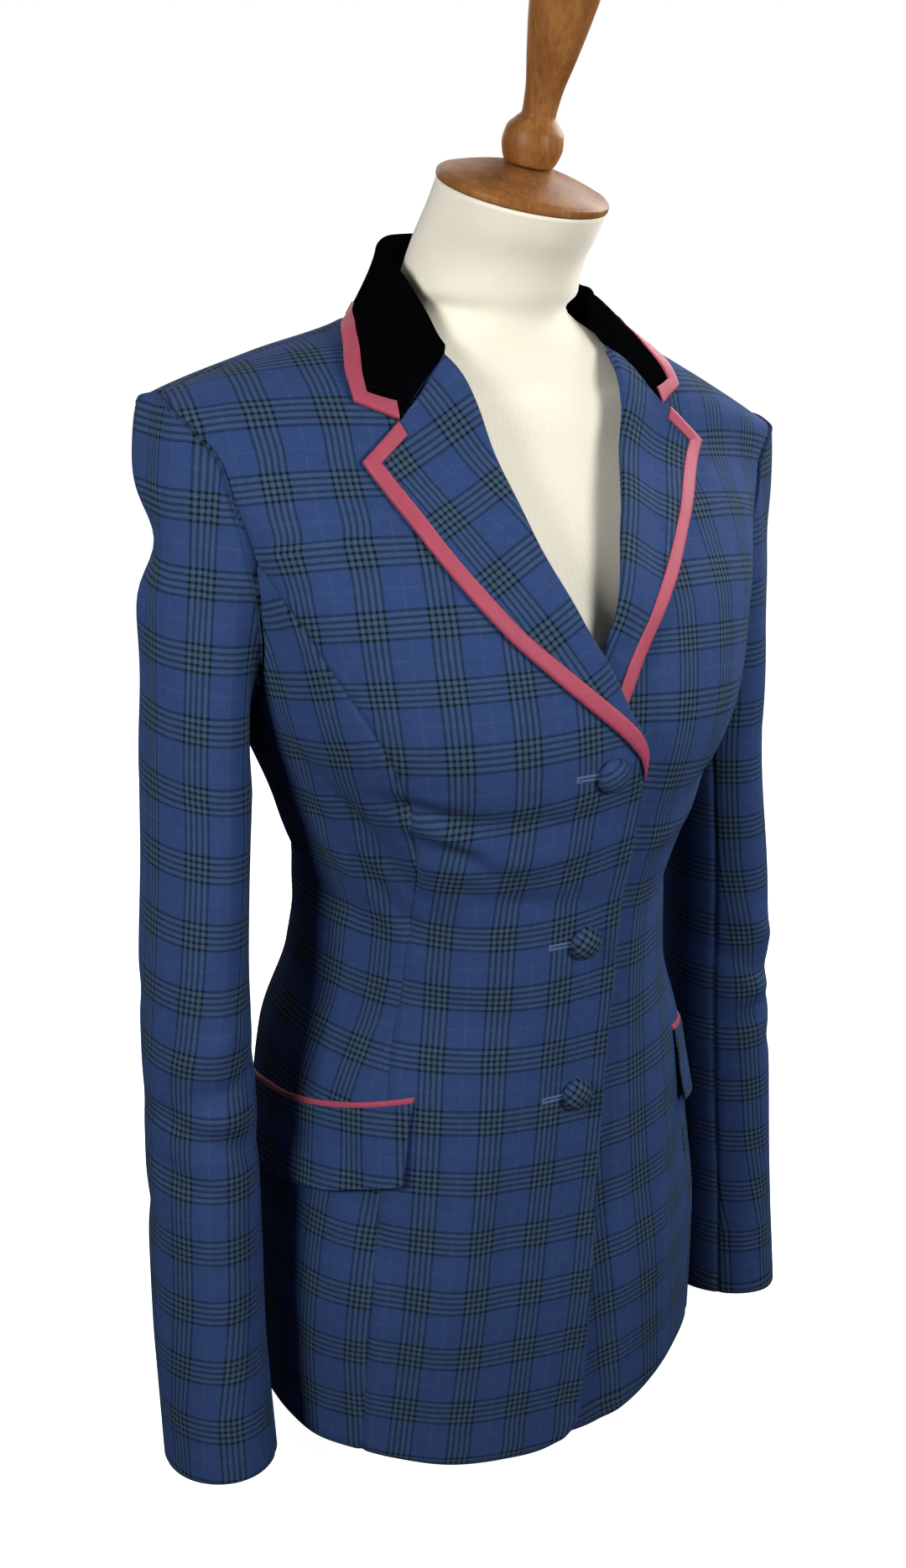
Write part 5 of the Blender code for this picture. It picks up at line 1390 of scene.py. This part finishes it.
# Where each piece, or both of a kind, lie in the check: turn in degrees and place of the anchor in metres
CUTS = {
    "front_right": (0.0, 0.0018, -0.0010), "front_left": (0.0, 0.0072, -0.0110), "side": (0.0, 0.0, -0.0050),
    "back": (0.0, 0.0, 0.0), "top_sleeve": (0.0, 0.0, -0.0105), "under_sleeve": (0.0, 0.0, -0.0105),
    "lapel_right": (11.6, 0.0305, 0.0090), "lapel_left": (6.0, 0.0184, 0.0060),
    "pocket_flap": (8.0, -0.0110, 0.0034)}

# How far shaping and pressing move the check aside at heights up a piece
LEANS = {
    "front": table("up aside tilt about", [
        (0.300, 0.0, 0.0, 0.040), (0.380, 0.0040, 0.0, 0.040), (0.420, 0.0100, 0.0, 0.040),
        (0.460, 0.0185, 0.0, 0.040), (0.500, 0.0230, 0.09, 0.040), (0.560, 0.0270, 0.15, 0.095),
        (0.620, 0.0330, 0.15, 0.115), (0.680, 0.0365, 0.15, 0.130)]),
    "side": table("up aside", [
        (0.090, -0.0180), (0.140, -0.0145), (0.180, -0.0130), (0.300, 0.0), (0.340, 0.0060), (0.380, 0.0090),
        (0.420, 0.0130), (0.460, 0.0180), (0.500, 0.0260)]),
    "top_sleeve": table("up aside", [
        (0.067, 0.0180), (0.110, 0.0115), (0.150, 0.0075), (0.270, 0.0045), (0.310, 0.0), (0.360, -0.0040),
        (0.430, -0.0020), (0.470, 0.0005), (0.600, 0.0035)])}
FRONT_ANCHOR = 0.30  # height of the fronts' anchor on their edge
FRONT_GRAIN = (0.08, 0.7)  # ends of their grain line on that edge, as shares of LOW_ROWS
LAPEL_ANCHOR = 50  # row of the lapels' anchor
LAPEL_GRAIN = (20, 90)  # rows of the ends of their grain line
SLEEVE_GRAIN = (0.95, 0.55)  # anchor and other end of the sleeves' grain line, as shares of their rows
PANEL_GRAIN = (0.1, 0.5)  # the same on the other pieces


def cut_of(node, grid):
    """A piece's flat pattern with its grain line upright, turned and moved by its row, and its size."""
    kind, side = node.rsplit("_", 1)
    flat = flattened(grid)
    if kind == "front":
        column = 0
        anchor = int(np.argmin(np.abs(grid[:LOW_ROWS, 0, 2] - FRONT_ANCHOR)))
        ends = [int(share * LOW_ROWS) for share in FRONT_GRAIN]
        to = (float(roll_x(FRONT_ANCHOR, SIDES[side])), FRONT_ANCHOR)
    elif kind == "lapel":
        column, anchor, ends = ROLL_STEPS, LAPEL_ANCHOR, LAPEL_GRAIN
        to = (0.0, 0.0)
    else:
        column = grid.shape[1] // 2
        ends = [int(grid.shape[0] * share) for share in (SLEEVE_GRAIN if "sleeve" in kind else PANEL_GRAIN)]
        anchor = ends[0]
        to = (0.0, grid[anchor, column, 2])
    if "sleeve" in kind:
        flat = flat * np.array([1, -1])
    turn, aside, up = CUTS.get(node) or CUTS[kind]
    low, top = flat[ends[0], column], flat[ends[1], column]
    lean = math.atan2(top[0] - low[0], top[1] - low[1])
    pivot = flat[anchor, column]
    flat = turned_flat(flat, lean + math.radians(turn), pivot, (to[0] + aside, to[1] + up))
    size = flat_size(flat)
    rows = LEANS.get(kind)
    if rows:
        up = flat[..., 1].copy()
        flat[..., 0] += read(rows, "up", up, "aside")
        if "tilt" in rows:
            flat[..., 1] -= read(rows, "up", up, "tilt") * (flat[..., 0] - read(rows, "up", up, "about"))
    return flat, size


flat_sizes = {}  # width, length and area of each sheet


def cloth(node, make, flip, seams, free):
    """A cut piece of checked wool: its shell, with its flat size kept in flat_sizes."""
    name = node + "_cloth"
    uv, flat_sizes[name] = cut_of(node, make(0.0))
    piece = add_shell(name, make, WALL, flip, MATERIALS["checked_wool"], uv, seams, free)
    return place_piece(piece, node)


KNIT_RADIUS = 0.058  # radius at which the jersey's ribs have their own pitch
CAP_FALL = 1.7  # how late the cap's dome falls towards its rim
CAP_CROWN = (0.96, 22)  # share of the radius where the dome ends, and its points
CAP_BEND = (0.15, 6)  # share of a quarter turn where the rim's rounding starts, and its points
CAP_SIDES = 120
FINIAL_SIDES = 72
FINIAL_STEPS = 90
FINIAL_TIP = (0.003, 0.0002, 0.001)  # radius, fall and rise of the finial's rounded end
FINIAL_FOOT = 0.002  # how far its foot is let into the cap


def add_form():
    """The dress form: jersey torso and neck, wooden cap and finial."""
    rings = form_rings()
    index, faces = ring_faces(*rings.shape[:2])
    faces = [[a, d, c, b] for a, b, c, d in faces] + [index[0, ::-1].tolist(), index[-1].tolist()]
    angle = np.linspace(-math.pi, math.pi, FORM_SIDES, endpoint=False)
    length = lengths(rings, 0).mean(1)
    uv = np.stack(np.broadcast_arrays(angle[None] * KNIT_RADIUS, length[:, None]), -1)
    torso = add_mesh("form_torso_jersey", rings.reshape(-1, 3), faces, uv.reshape(-1, 2), MATERIALS["jersey"],
                     2 * math.pi * KNIT_RADIUS)
    place_piece(torso, "form_torso")
    seat = neck_place(-1)
    bottom, top = SEAM_GAP, SEAM_GAP + CAP_THICKNESS
    crown = [(CAP_RADIUS * r, top + CAP_DOME * (1 - r ** CAP_FALL)) for r in np.linspace(0, *CAP_CROWN)]
    bend = np.linspace(CAP_BEND[0], 1, CAP_BEND[1]) * math.pi / 2
    inner = CAP_RADIUS - CAP_EDGE
    rim = [(inner + CAP_EDGE * math.sin(a), top - CAP_EDGE + CAP_EDGE * math.cos(a)) for a in bend]
    rim += [(inner + CAP_EDGE * math.sin(a), bottom + CAP_EDGE - CAP_EDGE * math.cos(a)) for a in bend[::-1]]
    cap = add_turned("form_neck_cap_wood", crown + rim + [(0, bottom)], CAP_SIDES, seat, MATERIALS["wood"])
    place_piece(cap, "form_neck_cap")
    rise = top + CAP_DOME + SEAM_GAP
    heights = np.linspace(FINIAL["height"][-1], 0, FINIAL_STEPS)
    outline = [(float(read(FINIAL, "height", h, "radius")), rise + h) for h in heights]
    radius, fall, end = FINIAL_TIP
    tip = FINIAL["height"][-1] + end
    outline = [(0, rise + tip), (radius, rise + tip - fall)] + outline + [(0, rise - FINIAL_FOOT)]
    finial = add_turned("form_finial_wood", outline, FINIAL_SIDES, seat, MATERIALS["wood"])
    place_piece(finial, "form_finial")


# Cut pieces of each side: their makers, sewn edges and free edges
CUT_PIECES = (
    ("front", front_panel, ("right", "top"), ("left", "bottom")),
    ("side", side_panel, ("left", "right", "top"), ("bottom",)),
    ("back", back_panel, ("left", "right", "top"), ("bottom",)),
    ("top_sleeve", top_sleeve, ("left", "right"), ("top",)),
    ("under_sleeve", under_sleeve, ("left", "right"), ("top",)),
    ("lapel", lapel_panel, (), ("right", "top")),
    ("pocket_flap", pocket_flap, (), ("left", "right", "bottom")))
SELF_LIFTED = ("top_sleeve", "under_sleeve", "lapel")  # pieces moved out along their own normals
WELT_SHELL = 0.5  # wall of the welt's shell, as a share of the welt's own


def add_coat():
    """Every sewn piece of the coat, right and left."""
    pink = MATERIALS["ribbon"]
    for side, hand in SIDES.items():
        right = hand == RIGHT
        for kind, maker, seams, free in CUT_PIECES:
            flip = right != (kind == "back")
            make = lifting(maker(hand), flip) if kind in SELF_LIFTED else lambda lift: maker(hand, lift)
            cloth(kind + "_" + side, make, flip, seams, free)
        binding = add_strip("lapel_binding_" + side + "_ribbon", lapel_binding(hand), pink, right)
        place_piece(binding, "lapel_binding_" + side)
        grid = pocket_welt(hand)
        uv = np.stack([lengths(grid, 1), lengths(grid, 0)], -1)
        welt = add_shell("pocket_welt_" + side + "_ribbon", lambda lift: pocket_welt(hand, lift),
                         WELT_WALL * WELT_SHELL, right, pink, uv)
        place_piece(welt, "pocket_welt_" + side)
        [add_buttonholes()] if right else []
    uv = flattened(collar_panel())
    piece = add_shell("collar_velvet", collar_panel, COLLAR_WALL, True, MATERIALS["velvet"], uv, (),
                      ("left", "right", "top", "bottom"))
    flat_sizes[piece.name] = flat_size(uv)
    place_piece(piece, "collar")
    binding = add_strip("collar_binding_ribbon", collar_binding(), pink, True)
    place_piece(binding, "collar_binding")


# Worked buttonholes: stitches along a slit in the right front, and a bar at its outer end
HOLE_START = -0.002  # distances of the slit's ends from the centre front, towards the right
HOLE_END = 0.0212
STITCH_PITCH = 0.00055
STITCH_LENGTH = 0.0017  # across the slit's lip
SLIT = 0.0007  # width of the slit between the two rows
STITCH_HEIGHT = 0.0005
STITCH_POINTS = 7  # across a stitch and along it
STITCH_ENDS = 0.35  # height of a stitch's ends, as a share of its middle's
STITCH_SINK = 0.0001  # how far its edges sink into the cloth
STITCH_HALF = 0.52  # half its width, in pitches
BAR_LENGTH = 0.0042
BAR_STITCHES = 4
BAR_PITCH = 0.8  # of the bar's stitches, in pitches of the others
BAR_HALF = 0.45  # half their width, in the same


def add_buttonholes():
    """Every stitch of the three buttonholes in one mesh, each a small rounded bar."""
    share = np.linspace(-1, 1, STITCH_POINTS)
    across, along = np.meshgrid(share, share)
    ends = STITCH_ENDS + (1 - STITCH_ENDS) * np.sqrt(np.clip(1 - along ** 4, 0, 1))
    height = STITCH_HEIGHT * np.sqrt(np.clip(1 - across ** 2, 0, 1)) * ends
    one = quads(np.arange(across.size).reshape(across.shape))
    points, faces = [], []

    def stitch(x, z, half_x, half_z):
        """One upright stitch at a place on the right front."""
        spot = own_front(x + half_x * across, z + half_z * along, RIGHT, height - STITCH_SINK)
        faces.extend((one + across.size * len(points)).tolist())
        points.append(sided(spot, RIGHT).reshape(-1, 3))

    count = int((HOLE_END - HOLE_START) / STITCH_PITCH)
    for middle in BUTTON_HEIGHTS.values():
        for k in range(count):
            x = HOLE_START + (k + 0.5) * STITCH_PITCH
            for way in (1, -1):
                z = middle + way * (SLIT + STITCH_LENGTH) / 2
                stitch(x, z, STITCH_PITCH * STITCH_HALF, STITCH_LENGTH / 2)
        for k in range(BAR_STITCHES):
            x = HOLE_END + (k + 0.5) * STITCH_PITCH * BAR_PITCH
            stitch(x, middle, STITCH_PITCH * BAR_HALF, BAR_LENGTH / 2)
    faces = [f[::-1] for f in faces]
    made = add_mesh("buttonholes_thread", np.concatenate(points), faces, None, MATERIALS["thread"])
    return place_piece(made, None)


BUTTON_STEPS = 16
BUTTON_SIDES = 64
BUTTON_EDGE = 0.6  # height where the rim starts to turn in below, as a share of the rim
BUTTON_BIAS = (58.0, 38.0, 42.0)
BUTTON_MAP = ((0.5, 0.0), (0.5, 0.5), (0.5, 0.5))  # place of its middle in the check, in repeats


def add_buttons():
    """Domed buttons on the right front, covered in the coat's cloth on the bias."""
    foot = 2 * SEAM_GAP
    bend = np.linspace(0, math.pi / 2, BUTTON_STEPS)
    profile = [(BUTTON_RADIUS * math.sin(a), foot + BUTTON_RIM + BUTTON_DOME * math.cos(a)) for a in bend]
    profile += [(BUTTON_RADIUS, foot + BUTTON_EDGE * BUTTON_RIM), (BUTTON_RADIUS * BUTTON_FOOT, foot),
                (0, foot)]
    for k, (place, height) in enumerate(BUTTON_HEIGHTS.items()):
        seat = draped(0.0, height, RIGHT)
        normal = Vector(unit(draped(0.0, height, RIGHT, PROBE) - seat))
        matrix = Matrix.Translation(Vector(seat)) @ normal.to_track_quat("Z", "Y").to_matrix().to_4x4()
        button = add_turned("button_" + place + "_covered", profile, BUTTON_SIDES, matrix,
                            MATERIALS["checked_wool"], math.radians(BUTTON_BIAS[k]), BUTTON_MAP[k])
        place_piece(button, "button_" + place)


FLOOR_SIZE = 12.0
FLOOR_SIDES = 64
# Floor and backdrop: their roughness, their own colour and their glow
BACKGROUNDS = (("floor", 0.9, 0.85, 0.97), ("backdrop", 1.0, 0.0, 1.0))
# Lamps: their places, sizes and powers
LAMPS = (("front", (0.34, -1.15, 0.85), 0.4, 10.2), ("left", (-1.22, -0.47, 1.00), 0.4, 13.6),
         ("right", (0.9, 0.15, 1.25), 0.8, 15.5), ("behind", (0.3, 2.0, 1.7), 1.6, 13.0))
LAMP_AIM = (0, 0, 0.45)
SKY = ((0.0, 0.01), (0.5, 0.06), (1.0, 0.11))  # light of the surround from below to above


def add_stage():
    """A plain pale floor in front of a white backdrop, under soft light."""
    count = FLOOR_SIDES
    angle = np.linspace(0, 2 * math.pi, count, endpoint=False)
    rim = np.stack([FLOOR_SIZE * np.cos(angle), FLOOR_SIZE * np.sin(angle), 0 * angle], -1)
    above = np.concatenate([rim, rim + (0, 0, FLOOR_SIZE)])
    walls = [(k, k + count, (k + 1) % count + count, (k + 1) % count) for k in range(count)]
    shapes = {"floor": (rim, [range(count)]), "backdrop": (above, walls + [range(count, 2 * count)])}
    for name, roughness, grey, glow in BACKGROUNDS:
        points, faces = shapes[name]
        mesh = bpy.data.meshes.new(name)
        mesh.from_pydata(points.tolist(), [], [list(face) for face in faces])
        values = (("Base Color", (grey, grey, grey, 1)), ("Emission Color", (1, 1, 1, 1)),
                  ("Emission Strength", glow))
        mesh.materials.append(new_material(name, roughness, others=values)[0])
        made = new_object(name, mesh)
        made.visible_diffuse = False
        made.visible_glossy = False
        made.visible_shadow = False
    world = bpy.data.worlds.new("surround")
    world.use_nodes = True
    tree = world.node_tree
    way = add(tree, "TexCoord").outputs["Generated"]
    height = add(tree, "SeparateXYZ", {0: way}).outputs[2]
    stops = [(position, (light, light, light, 1)) for position, light in SKY]
    sky = ramp_of(tree, scaled(tree, height, by=0.5, plus=0.5), stops)
    tree.links.new(sky, tree.nodes["Background"].inputs["Color"])
    bpy.context.scene.world = world
    for name, place, size, energy in LAMPS:
        lamp = bpy.data.lights.new(name, "AREA")
        lamp.size = size
        lamp.energy = energy
        made = new_object(name, lamp)
        made.location = place
        made.rotation_euler = (Vector(LAMP_AIM) - Vector(place)).to_track_quat("-Z", "Y").to_euler()
        made.visible_camera = False
    bpy.context.scene.view_settings.view_transform = "Standard"
    bpy.context.scene.view_settings.look = "None"


add_stage()
add_form()
add_coat()
add_buttons()
